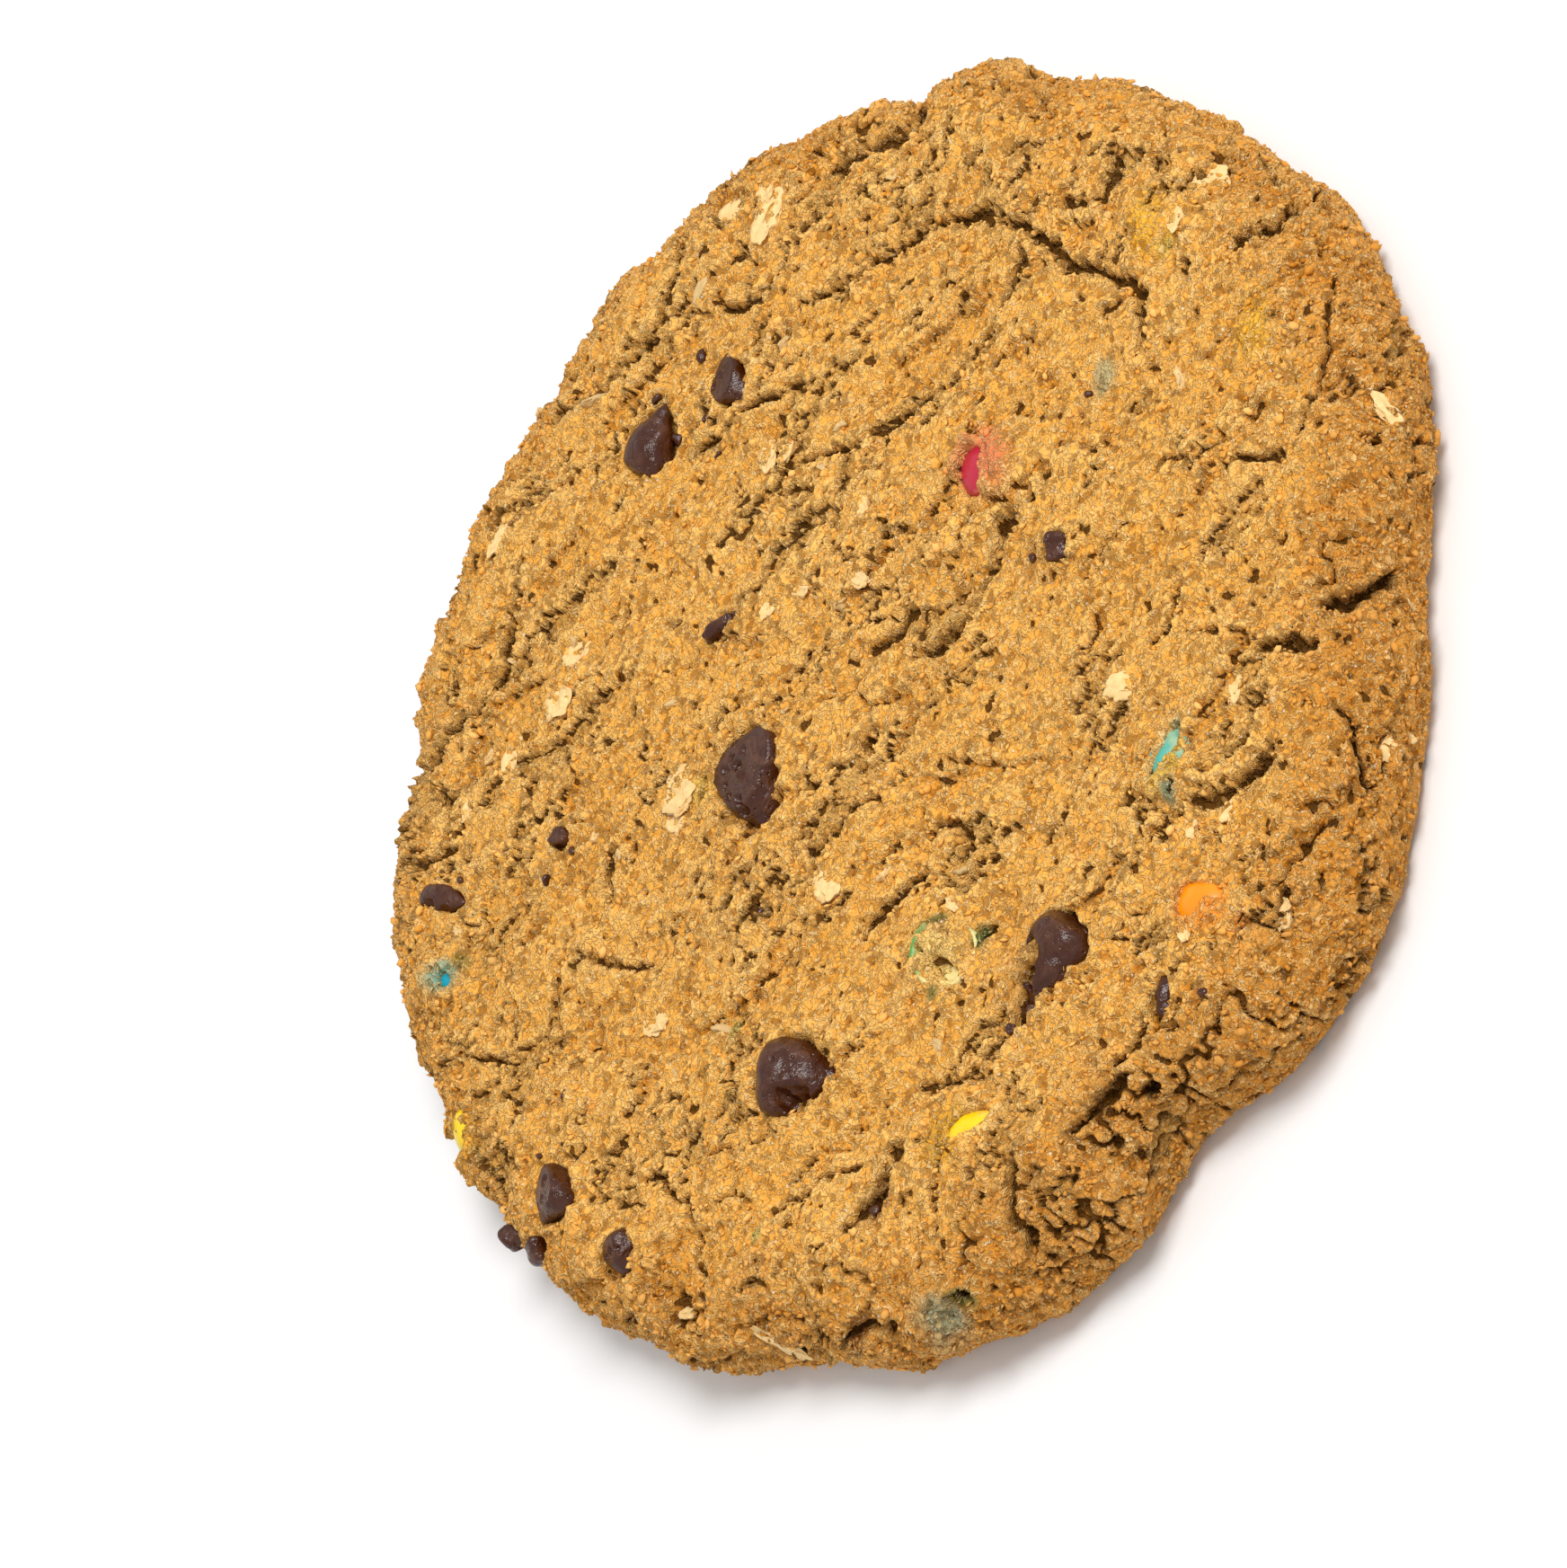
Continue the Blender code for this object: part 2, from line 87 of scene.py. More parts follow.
def noise(points: Array, size: float, seed: int) -> Array:
    """Smooth noise from -1 to 1.

    Args:
        points: places in millimetres, one a row.
        size: size of its lumps in millimetres.
        seed: which noise.

    Returns:
        One number for each point.
    """
    p = points / size + 311.7
    cell = np.floor(p).astype(np.int64)
    f = p - cell
    f = f * f * f * (f * (f * 6 - 15) + 10)
    total = np.zeros(len(points))
    for corner in np.ndindex(2, 2, 2):
        x, y, z = (f[:, k] if c else 1 - f[:, k] for k, c in enumerate(corner))
        total += x * y * z * lattice(cell + np.array(corner), seed)
    return total * 2 - 1


def rough(points: Array, size: float, octaves: int, seed: int) -> Array:
    """Noise of several sizes, each half the one before in size and height.

    Args:
        points: places in millimetres, one a row.
        size: size of the largest lumps.
        octaves: how many sizes.
        seed: which noise.

    Returns:
        One number for each point.
    """
    return sum(noise(points, size / 2**k, seed + k) / 2**k for k in range(octaves))


def frayed(points: Array, size: float, octaves: int, seed: int, keep: float = 0.66) -> Array:
    """Noise whose finer sizes stay strong, so that its contours are as ragged as torn crumb.

    Args:
        points: places in millimetres, one a row.
        size: size of the largest lumps.
        octaves: how many sizes.
        seed: which noise.
        keep: height of each finer size against the one before.

    Returns:
        One number for each point.
    """
    return sum(noise(points, size / 2**k, seed + k) * keep**k for k in range(octaves))


def scales(points: Array, size: float, seed: int, lean: float = 0.5, edge: float = 0.3) -> Array:
    """Round scales that overlap, each at its own level and with its own lean.

    Args:
        points: places in millimetres, one a row.
        size: size of a scale in millimetres.
        seed: which scales.
        lean: how far a scale leans, in levels across its size.
        edge: width of a scale's edge in millimetres.

    Returns:
        Level of the topmost scale, from about -0.7 where there is none to 0.6.
    """
    p = points / size + 311.7
    base = np.floor(p - 0.5).astype(np.int64)
    top = np.full(len(points), -0.7)
    for corner in np.ndindex(2, 2, 2):
        cell = base + np.array(corner)
        drawn = np.stack([lattice(cell, seed + k) for k in range(7)], axis=1)
        off = p - cell - 0.2 - 0.6 * drawn[:, :3]
        away = np.sqrt((off**2).sum(axis=1))
        level = drawn[:, 6] - 0.5 + 2 * lean * (off * (drawn[:, 3:6] - 0.5)).sum(axis=1) - 0.25 * away**2
        inside = 1 - smooth_step(0.78 - edge / size, 0.78, away)
        top = np.maximum(top, -0.7 + (level + 0.7) * inside)
    return top


def bowed(start: Place, end: Place, bow: float, steps: int = 9) -> Array:
    """Points along a line from start to end that bows to its left.

    Args:
        start: first point.
        end: last point.
        bow: how far the middle stands off the straight line.
        steps: how many points.

    Returns:
        The points, one a row.
    """
    a, b = np.array(start), np.array(end)
    left = np.array([a[1] - b[1], b[0] - a[0]]) / np.linalg.norm(b - a)
    t = np.linspace(0, 1, steps)[:, None]
    return a + (b - a) * t + left * bow * 4 * t * (1 - t)


def away_from(path: Array, xy: Array) -> Array:
    """Distance of each point from a path of straight stretches.

    Args:
        path: corners of the path, one a row.
        xy: the points, one a row.

    Returns:
        One distance for each point.
    """
    nearest = np.full(len(xy), np.inf)
    for a, b in zip(path[:-1], path[1:]):
        t = np.clip((xy - a) @ (b - a) / ((b - a) @ (b - a)), 0, 1)
        nearest = np.minimum(nearest, np.linalg.norm(xy - a - t[:, None] * (b - a), axis=1))
    return nearest


def each(kind: type, *rows: tuple) -> tuple:
    """One of a kind for each row of its sizes."""
    return tuple(kind(*row) for row in rows)


def around(radius: Array, turn: Array, level: Array) -> Array:
    """Places at these distances from the middle, directions in radians and levels, one a row."""
    return np.column_stack([radius * np.cos(turn), radius * np.sin(turn), level])


def leaned(points: Array, normal: Sequence[float]) -> Array:
    """Points made on level ground, leaned to ground with this normal."""
    return points @ np.array(Vector((0, 0, 1)).rotation_difference(Vector(normal)).to_matrix()).T


# ---- shader sums
class Wire:
    """A socket of a material's nodes that can be added, scaled and mixed as a number."""

    def __init__(self, board: "Board", socket: NodeSocket) -> None:
        """Keeps the socket and the board that its nodes stand on."""
        self.board = board
        self.socket = socket

    def _math(self, operation: str, *values: "Wire | float") -> "Wire":
        """One Math node."""
        return self.board.node("ShaderNodeMath", {"operation": operation}, *values)

    def __add__(self, other: "Wire | float") -> "Wire":
        """Sum."""
        return self._math("ADD", self, other)

    def __sub__(self, other: "Wire | float") -> "Wire":
        """Difference."""
        return self._math("SUBTRACT", self, other)

    def __mul__(self, other: "Wire | float") -> "Wire":
        """Product."""
        return self._math("MULTIPLY", self, other)

    def __rsub__(self, other: float) -> "Wire":
        """Difference from a number."""
        return self._math("SUBTRACT", other, self)

    def __abs__(self) -> "Wire":
        """Size without its sign."""
        return self._math("ABSOLUTE", self)

    __radd__ = __add__
    __rmul__ = __mul__

    def between(self, low: float, high: float) -> "Wire":
        """0 below low, 1 above high, and smooth between them."""
        settings = {"interpolation_type": "SMOOTHSTEP", "clamp": True}
        return self.board.node("ShaderNodeMapRange", settings, self, low, high, 0.0, 1.0)

    def clamped(self) -> "Wire":
        """The number, kept from 0 to 1."""
        return self.board.node("ShaderNodeClamp", {}, self, 0.0, 1.0)


class Board:
    """The nodes of one material."""

    def __init__(self, name: str) -> None:
        """Starts a material that has no nodes yet.

        Args:
            name: name of the material.
        """
        self.material = bpy.data.materials.new(name)
        self.material.use_nodes = True
        self.tree = self.material.node_tree
        self.tree.nodes.clear()

    def node(self, kind: str, settings: dict, *inputs: Plugged, out: str = "", **named: Plugged) -> Wire:
        """Adds one node.

        Args:
            kind: Blender's name for the type of node.
            settings: the node's own properties, set first.
            inputs: a link or value for each socket that is in use, in order.
            out: name of the output that is wanted, or the first.
            named: a link or value for a socket by its name, with _ for a space.

        Returns:
            The output.
        """
        made = self.tree.nodes.new(kind)
        for key, value in settings.items():
            setattr(made, key, value)
        sockets = [s for s in made.inputs if s.enabled]
        for socket, value in zip(sockets, inputs):
            self.plug(socket, value)
        for key, value in named.items():
            self.plug(made.inputs[key.replace("_", " ")], value)
        shown = [s for s in made.outputs if s.enabled]
        return Wire(self, made.outputs[out] if out else shown[0])

    def plug(self, socket: NodeSocket, value: Plugged) -> None:
        """Links or sets one socket.

        Args:
            socket: the socket.
            value: a link, a number, a colour or a place, or None to leave the socket alone.
        """
        if isinstance(value, Wire):
            self.tree.links.new(value.socket, socket)
        elif value is not None:
            socket.default_value = (*value, 1.0) if socket.type == "RGBA" and len(value) == 3 else value

    def attribute(self, name: str, colour: bool = False) -> Wire:
        """What each vertex of the mesh keeps under this name."""
        out = "Color" if colour else "Fac"
        return self.node("ShaderNodeAttribute", {"attribute_name": name}, out=out)

    def place(self) -> Wire:
        """The place on the object, in metres."""
        return self.node("ShaderNodeTexCoord", {}, out="Object")

    def cloud(self, size: float, detail: float = 2.0, rough_share: float = 0.5, turn: float = 0.0) -> Wire:
        """Noise from about 0.2 to 0.8.

        Args:
            size: size of its lumps in millimetres.
            detail: how many finer sizes are added.
            rough_share: height of each finer size against the one before.
            turn: how much the noise is stirred.

        Returns:
            The noise.
        """
        inputs = (self.place(), 1 / (size * MM), detail, rough_share, 2.0, turn)
        return self.node("ShaderNodeTexNoise", {}, *inputs, out="Fac")

    def stirred(self, size: float, reach: float) -> Wire:
        """The place on the object, moved about by noise.

        Args:
            size: size of the noise's lumps in millimetres.
            reach: how far it moves a place, in millimetres.

        Returns:
            The moved place.
        """
        stir = self.node("ShaderNodeTexNoise", {}, self.place(), 1 / (size * MM), 3.0, 0.7, out="Color")
        centred = self.node("ShaderNodeVectorMath", {"operation": "SUBTRACT"}, stir, (0.5, 0.5, 0.5))
        moved = self.node("ShaderNodeVectorMath", {"operation": "SCALE"}, centred, 2 * reach * MM)
        return self.node("ShaderNodeVectorMath", {"operation": "ADD"}, self.place(), moved)

    def levels(self, size: float, where: Wire) -> Wire:
        """A level for each of many packed cells of this size in millimetres, from 0 to 1."""
        own = self.node("ShaderNodeTexVoronoi", {"feature": "F1"}, where, 1 / (size * MM), out="Color")
        return self.node("ShaderNodeSeparateColor", {}, own)

    def cells(self, size: float, where: Wire | None = None) -> Wire:
        """Distance to the nearest middle of many packed cells.

        Args:
            size: size of a cell in millimetres.
            where: the place that is read, or the place on the object.

        Returns:
            The distance, in cell sizes.
        """
        inputs = (where or self.place(), 1 / (size * MM))
        return self.node("ShaderNodeTexVoronoi", {"feature": "F1"}, *inputs, out="Distance")

    def mix(self, share: Plugged, first: Plugged, second: Plugged, way: str = "MIX") -> Wire:
        """Mixes two colours.

        Args:
            share: 0 for the first and 1 for the second.
            first: a colour.
            second: a colour.
            way: how the second goes over the first.

        Returns:
            The mixed colour.
        """
        return self.node("ShaderNodeMix", {"data_type": "RGBA", "blend_type": way}, share, first, second)

    def bump(self, height: Wire, millimetres: float, strength: float) -> Wire:
        """A bump of this height in millimetres."""
        return self.node("ShaderNodeBump", {}, Height=height, Distance=millimetres * MM, Strength=strength)

    def surface(self, colour: Plugged, roughness: Plugged, normal: Plugged, gleam: float) -> Material:
        """Ends the material in one Principled shader.

        Args:
            colour: its base colour.
            roughness: its roughness.
            normal: its bump, or None.
            gleam: its specular level.

        Returns:
            The material.
        """
        looks = {"Base_Color": colour, "Roughness": roughness, "Normal": normal, "Specular_IOR_Level": gleam}
        shader = self.node("ShaderNodeBsdfPrincipled", {}, **looks)
        output = self.tree.nodes.new("ShaderNodeOutputMaterial")
        self.plug(output.inputs["Surface"], shader)
        return self.material


# ---- meshes
def make_mesh(name: str, points: Array, faces: Array) -> Object:
    """Makes an object from points in millimetres, shaded as one smooth skin.

    Args:
        name: name of the object.
        points: one a row.
        faces: corners of each face, all with the same number of corners, one a row.

    Returns:
        The object, linked to the scene.
    """
    mesh = bpy.data.meshes.new(name)
    sides = faces.shape[1]
    mesh.vertices.add(len(points))
    mesh.vertices.foreach_set("co", (points * MM).astype(np.float32).ravel())
    mesh.loops.add(faces.size)
    mesh.loops.foreach_set("vertex_index", faces.astype(np.int32).ravel())
    mesh.polygons.add(len(faces))
    mesh.polygons.foreach_set("loop_start", np.arange(0, faces.size, sides, dtype=np.int32))
    mesh.update(calc_edges=True)
    mesh.polygons.foreach_set("use_smooth", np.full(len(faces), True))
    made = bpy.data.objects.new(name, mesh)
    bpy.context.scene.collection.objects.link(made)
    return made


def make_joined(name: str, bodies: Sequence[Array], faces: Array) -> Object:
    """Makes one object from many bodies that have the same faces.

    Args:
        name: name of the object.
        bodies: points of each body in millimetres.
        faces: corners of each face of one body.

    Returns:
        The object, linked to the scene.
    """
    steps = np.arange(len(bodies))[:, None, None] * len(bodies[0])
    return make_mesh(name, np.concatenate(bodies), (faces[None] + steps).reshape(-1, 3))


def keep_number(piece: Object, name: str, values: Array) -> None:
    """Keeps one number with each vertex, for the finish to read."""
    layer = piece.data.attributes.new(name, "FLOAT", "POINT")
    layer.data.foreach_set("value", values.astype(np.float32))


def keep_colour(piece: Object, name: str, values: Array) -> None:
    """Keeps a colour with each vertex, for the finish to read."""
    layer = piece.data.attributes.new(name, "FLOAT_COLOR", "POINT")
    rows = np.column_stack([values, np.ones(len(values))])
    layer.data.foreach_set("color", rows.astype(np.float32).ravel())


def hand_over(
    piece: Object, slot: str, finish: Material, nodes: Iterable[str] = ()
) -> None:
    """Gives a piece its finish, hangs it under the root body and hides any CAD nodes that it stands for.

    Args:
        piece: the piece.
        slot: the record's material slot, which is only logged.
        finish: its material.
        nodes: CAD nodes that it stands for.
    """
    piece.data.materials.append(finish)
    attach(piece, "root")
    if nodes:
        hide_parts(*nodes)
    LOG.info("%s: %d faces of %s", piece.name, len(piece.data.polygons), slot)


# ---- the form of the cookie
@dataclass(frozen=True)
class Fissure:
    """A tear in the crust: start, end, bow to the left, half width and depth."""

    start: Place
    end: Place
    bow: float
    half_width: float
    depth: float


@dataclass(frozen=True)
class Swell:
    """A lump, or a hollow if its rise is negative, with its half lengths along X and Y."""

    place: Place
    along_x: float
    along_y: float
    rise: float

    def away(self, xy: Array) -> Array:
        """Distance of each point from its middle, 1 at its half length."""
        return np.hypot((xy[:, 0] - self.place[0]) / self.along_x, (xy[:, 1] - self.place[1]) / self.along_y)


@dataclass(frozen=True)
class Oval:
    """An oval patch of the crust: place, half length, half width, direction of its length in degrees."""

    place: Place
    half_length: float
    half_width: float
    turn: float

    def away(self, xy: Array) -> Array:
        """Distance of each point from the oval's middle, 1 at its edge."""
        c, s = math.cos(math.radians(self.turn)), math.sin(math.radians(self.turn))
        x, y = xy[:, 0] - self.place[0], xy[:, 1] - self.place[1]
        return np.hypot((x * c + y * s) / self.half_length, (y * c - x * s) / self.half_width)


@dataclass(frozen=True)
class Pit(Oval):
    """A dark hole in the crust, and its depth."""

    depth: float


class Stain(Enum):
    """What colours the dough in places, as linear red, green and blue."""

    YELLOW = (0.84, 0.44, 0.03)
    GREENISH = (0.50, 0.42, 0.05)
    ORANGE = (0.85, 0.28, 0.03)
    RED = (0.80, 0.20, 0.12)
    GREEN = (0.38, 0.42, 0.10)
    # Dark hollows and slits over shells: shell colour darkened as painted shade
    DARK_GREEN = (0.04, 0.12, 0.035)
    CREAM = (0.86, 0.74, 0.30)
    TURQUOISE = (0.11, 0.43, 0.41)
    GREY_BLUE = (0.42, 0.42, 0.26)
    COCOA = (0.10, 0.035, 0.015)
    RUST = (0.30, 0.11, 0.03)


@dataclass(frozen=True)
class Tinge(Oval):
    """A stained patch, or a patch darkened as painted shade: what colours it, and how strongly."""

    stain: Stain
    strength: float


@dataclass(frozen=True)
class Seat(Oval):
    """An opening in the crust: its drop, the shade painted round its edge, the crust's rise round it."""

    drop: float
    shade: float = 0.4
    lip: float = 0.0


@dataclass
class Crust:
    """The cookie's outer form: its rim, its profile and all that breaks its surface."""

    radius: float = 59.4
    top_level: float = 12.2
    widest_level: float = 5.2
    shoulder_run: float = 9.5
    shoulder_power: float = 2.3
    undercut_run: float = 3.2
    dome_rise: float = 0.5
    # No lump of the CAD solid stands out further than this
    most_relief: float = 2.5
    # Over this height above the tray, the relief fades in
    base_fade: float = 2.6
    # The place that the lists of places are seen from, and the level that they are seen on
    seen_from: tuple[float, float, float] = (0.0, -438.8, 416.2)
    seen_level: float = 12.0
    # Height of the smaller lumps, as a share of the CAD solid's
    lump_share: float = 0.75
    # Torn hollows and long gaps between plates, and creases between the lumps of the rim
    hollow_size: float = 5.2
    gap_size: float = 9.0
    plate_drop: float = 1.15
    crease_size: float = 7.5
    crease_depth: float = 0.85
    # Size and rise of the three sizes of torn scales
    plate_size: float = 5.4
    plate_rise: float = 0.85
    flake_size: float = 2.0
    flake_rise: float = 0.3
    bead_size: float = 0.95
    bead_rise: float = 0.14
    pinhole_depth: float = 0.4
    # How far bare crumb and painted shade show round a tear
    haze_reach: float = 2.0
    # The way that the crust's tears run, in degrees from +X, and how far they are drawn out
    grain_turn: float = -28.0
    grain_stretch: float = 1.8
    # Direction in degrees from +X, spread in degrees, rise
    rim_waves: tuple[tuple[float, float, float], ...] = (
        (50, 15, 1.6),
        (24, 4, -1.2),
        (17, 5, 1.2),
        (112, 4, -1.6),
        (131, 12, 1.6),
        (203, 8, -2.0),
        (226, 8, 0.9),
        (246, 7, -3.4),
        (268, 12, 1.8),
        (297, 10, -2.4),
        (331, 9, 0.8),
    )
    fissures: tuple[Fissure, ...] = each(
        Fissure,
        ((-21.5, 49.0), (-1.0, 46.7), -2.0, 0.8, 2.2),
        ((-1.5, 50.5), (10.5, 47.3), 1.0, 0.6, 1.6),
        ((13.5, 52.0), (32.5, 44.5), -4.6, 0.7, 2.0),
        ((-30.5, 45.0), (-22.5, 46.5), -2.8, 0.6, 1.5),
        ((14.5, 31.5), (24.2, 21.5), 0.8, 0.7, 2.0),
        ((28.5, 35.5), (36.0, 29.9), -2.0, 0.7, 1.7),
        ((36.0, 30.0), (44.5, 28.0), -1.5, 0.8, 2.2),
        ((44.0, 29.5), (51.0, 21.0), -0.5, 1.3, 2.2),
        ((30.8, 26.0), (42.5, 14.6), -1.0, 0.7, 1.8),
        ((17.2, 17.5), (28.0, 5.3), -1.2, 0.7, 1.8),
        ((28.5, 3.8), (41.5, 1.6), -1.0, 0.7, 1.7),
        ((41.5, 14.0), (42.3, -4.0), 2.3, 0.8, 2.2),
        ((42.3, -4.0), (41.6, -15.0), 0.4, 0.8, 2.0),
        ((47.0, -0.5), (52.5, -5.0), -2.5, 0.7, 1.6),
        ((4.3, 0.5), (9.0, -2.7), -0.8, 0.8, 1.6),
        ((5.8, -6.0), (19.5, -10.5), -1.8, 1.0, 3.2),
        ((-8.0, -16.2), (-7.8, -22.0), 1.2, 0.7, 1.6),
        ((-18.3, -14.0), (-11.5, -18.0), 0.6, 0.8, 2.0),
        ((-14.0, -3.3), (-8.5, -6.8), -1.0, 0.7, 1.5),
        ((-45.7, -1.0), (-50.0, -9.5), 2.0, 0.7, 1.7),
        ((-44.5, 30.5), (-42.5, 22.0), 0.3, 0.6, 1.4),
        ((-25.0, 18.7), (-21.5, 21.0), 0.0, 0.9, 2.6),
        ((-42.0, -25.8), (-33.3, -28.3), -0.8, 0.9, 2.4),
        ((-50.5, -31.0), (-48.0, -36.0), 0.5, 0.8, 2.0),
        ((-28.5, -27.5), (-25.0, -33.0), 0.0, 0.6, 1.4),
        ((-31.0, -41.0), (-36.3, -50.3), -2.0, 0.8, 2.3),
        ((-26.0, -46.0), (-20.8, -49.7), 0.0, 0.7, 1.9),
        ((2.8, -43.8), (9.0, -49.7), -0.8, 0.9, 2.0),
        ((17.0, -44.5), (18.8, -50.0), 0.0, 0.9, 2.2),
        ((21.5, -50.0), (26.3, -56.0), 0.0, 1.0, 3.0),
        ((14.6, -55.0), (9.8, -62.5), 0.5, 0.6, 1.6),
        ((30.5, -32.0), (32.8, -37.5), 0.0, 0.7, 1.8),
        ((38.0, -17.2), (41.0, -15.0), 0.0, 0.8, 2.2),
        ((48.3, -23.5), (52.2, -29.0), 0.0, 0.8, 2.2),
    )
    # Finer tears that only the looks need
    hair_cracks: tuple[Fissure, ...] = each(
        Fissure,
        ((4.5, 49.6), (11.2, 44.5), -0.6, 0.4, 1.0),
        ((-3.0, 31.0), (8.0, 33.0), 0.6, 0.35, 0.9),
        ((-30.0, 18.0), (-29.0, 10.5), -0.4, 0.4, 0.9),
        ((-48.0, 6.0), (-44.0, 4.5), 0.5, 0.4, 0.9),
        ((-42.0, -6.0), (-40.3, -9.2), 0.3, 0.4, 0.9),
        ((-45.0, -10.0), (-43.3, -13.2), 0.2, 0.4, 0.8),
        ((-44.0, -17.0), (-37.0, -24.0), 0.6, 0.5, 1.2),
        ((-8.5, -7.0), (-7.6, -9.3), 0.3, 0.5, 1.2),
        ((-31.8, -30.8), (-29.8, -33.2), 0.0, 0.4, 0.9),
        ((-19.8, -48.0), (-11.0, -49.0), -0.8, 0.5, 1.3),
        ((12.0, -3.0), (17.2, -3.0), 0.4, 0.4, 0.8),
        ((7.0, -13.0), (8.2, -15.2), 0.0, 0.4, 0.8),
        ((-5.0, -30.0), (7.2, -29.0), -0.9, 0.45, 1.0),
        ((11.8, -26.8), (13.8, -28.2), 0.0, 0.4, 0.9),
        ((14.0, -32.0), (19.8, -33.2), -1.0, 0.5, 1.1),
        ((16.0, -37.0), (16.7, -39.3), 0.0, 0.4, 0.9),
        ((17.0, -41.0), (17.6, -43.2), 0.0, 0.4, 0.9),
        ((35.0, -39.0), (48.2, -36.0), -0.8, 0.45, 1.1),
        ((44.3, -43.8), (46.3, -44.7), 0.0, 0.5, 1.1),
        ((27.0, -24.5), (29.7, -28.2), 0.5, 0.4, 0.9),
        ((21.0, -0.8), (21.2, -3.2), 0.2, 0.4, 0.8),
        ((19.3, -22.3), (22.2, -24.2), 0.2, 0.4, 0.9),
        ((-28.0, -3.5), (-20.5, -6.5), 0.6, 0.5, 1.0),
        ((-38.5, 17.0), (-30.5, 22.0), 0.8, 0.4, 0.8),
    )
    swells: tuple[Swell, ...] = each(
        Swell,
        ((-7.0, 50.5), 9.0, 4.0, 1.3),
        ((24.0, 48.0), 7.5, 3.8, 1.3),
        ((-26.0, 46.5), 4.5, 3.5, 0.9),
        ((52.0, 17.5), 4.0, 4.0, 1.1),
        ((50.0, 5.0), 5.0, 9.0, 0.6),
        ((47.5, -12.0), 4.0, 3.4, 0.9),
        ((42.3, -29.7), 4.5, 4.0, 1.0),
        ((33.0, -46.5), 7.0, 4.5, 0.9),
        ((9.5, -55.0), 5.5, 5.0, 1.0),
        ((-7.0, -58.0), 8.0, 6.0, 1.0),
        ((-31.0, -37.0), 5.5, 3.5, 1.0),
        ((-30.0, -50.0), 5.0, 5.5, 1.1),
        ((-44.5, -23.5), 6.0, 5.0, 0.9),
        ((-55.0, 3.0), 3.5, 6.0, 0.8),
        ((-3.7, -5.1), 1.6, 0.9, -3.6),
        ((2.0, 7.0), 4.5, 2.4, -0.9),
        ((7.0, 1.5), 2.8, 4.0, -0.8),
        ((-28.5, 12.0), 1.8, 3.6, -0.8),
        ((14.0, 34.0), 4.0, 1.8, -0.8),
        ((12.0, -8.6), 5.0, 1.8, -1.0),
        ((-12.3, -29.0), 2.2, 3.2, -0.9),
        ((6.5, -47.5), 3.2, 2.4, -0.7),
        ((32.5, -35.5), 2.2, 3.2, -0.8),
    )
    pits: tuple[Pit, ...] = each(
        Pit,
        ((-3.6, -5.1), 1.6, 0.8, 60, 3.0),
        ((-6.4, 14.3), 1.4, 0.9, 20, 2.0),
        ((-7.2, 11.6), 1.4, 1.2, 30, 2.2),
        ((-22.9, 20.1), 1.3, 0.8, 30, 2.0),
        ((38.2, -17.0), 1.4, 0.7, 30, 2.4),
        ((45.0, -19.0), 0.9, 0.6, 60, 2.0),
        ((38.0, 29.1), 1.2, 0.7, -20, 1.8),
        ((44.2, 28.3), 1.6, 1.0, -30, 1.8),
        ((7.0, -7.9), 1.4, 0.7, -40, 1.8),
        ((22.4, -12.1), 0.7, 0.4, 20, 1.4),
        ((24.2, -12.9), 0.6, 0.4, 60, 1.2),
        ((-38.9, -28.2), 1.4, 0.8, -10, 1.8),
        ((-35.6, -46.5), 1.6, 0.7, 85, 1.8),
        ((-22.2, -48.2), 1.0, 0.7, -40, 1.6),
        ((-20.2, -52.8), 1.4, 0.8, 90, 2.0),
        ((-25.2, -51.6), 0.8, 0.6, 0, 1.4),
        ((-1.5, -58.5), 1.2, 0.7, 30, 1.6),
        ((50.6, -6.2), 1.2, 0.8, -30, 1.8),
        ((25.8, -55.2), 1.6, 1.0, -60, 2.2),
        ((-34.2, -14.2), 1.0, 0.6, 40, 1.2),
        ((31.5, 31.0), 0.8, 0.5, 0, 1.2),
        ((-14.1, -27.0), 1.1, 0.6, 20, 1.2),
    )
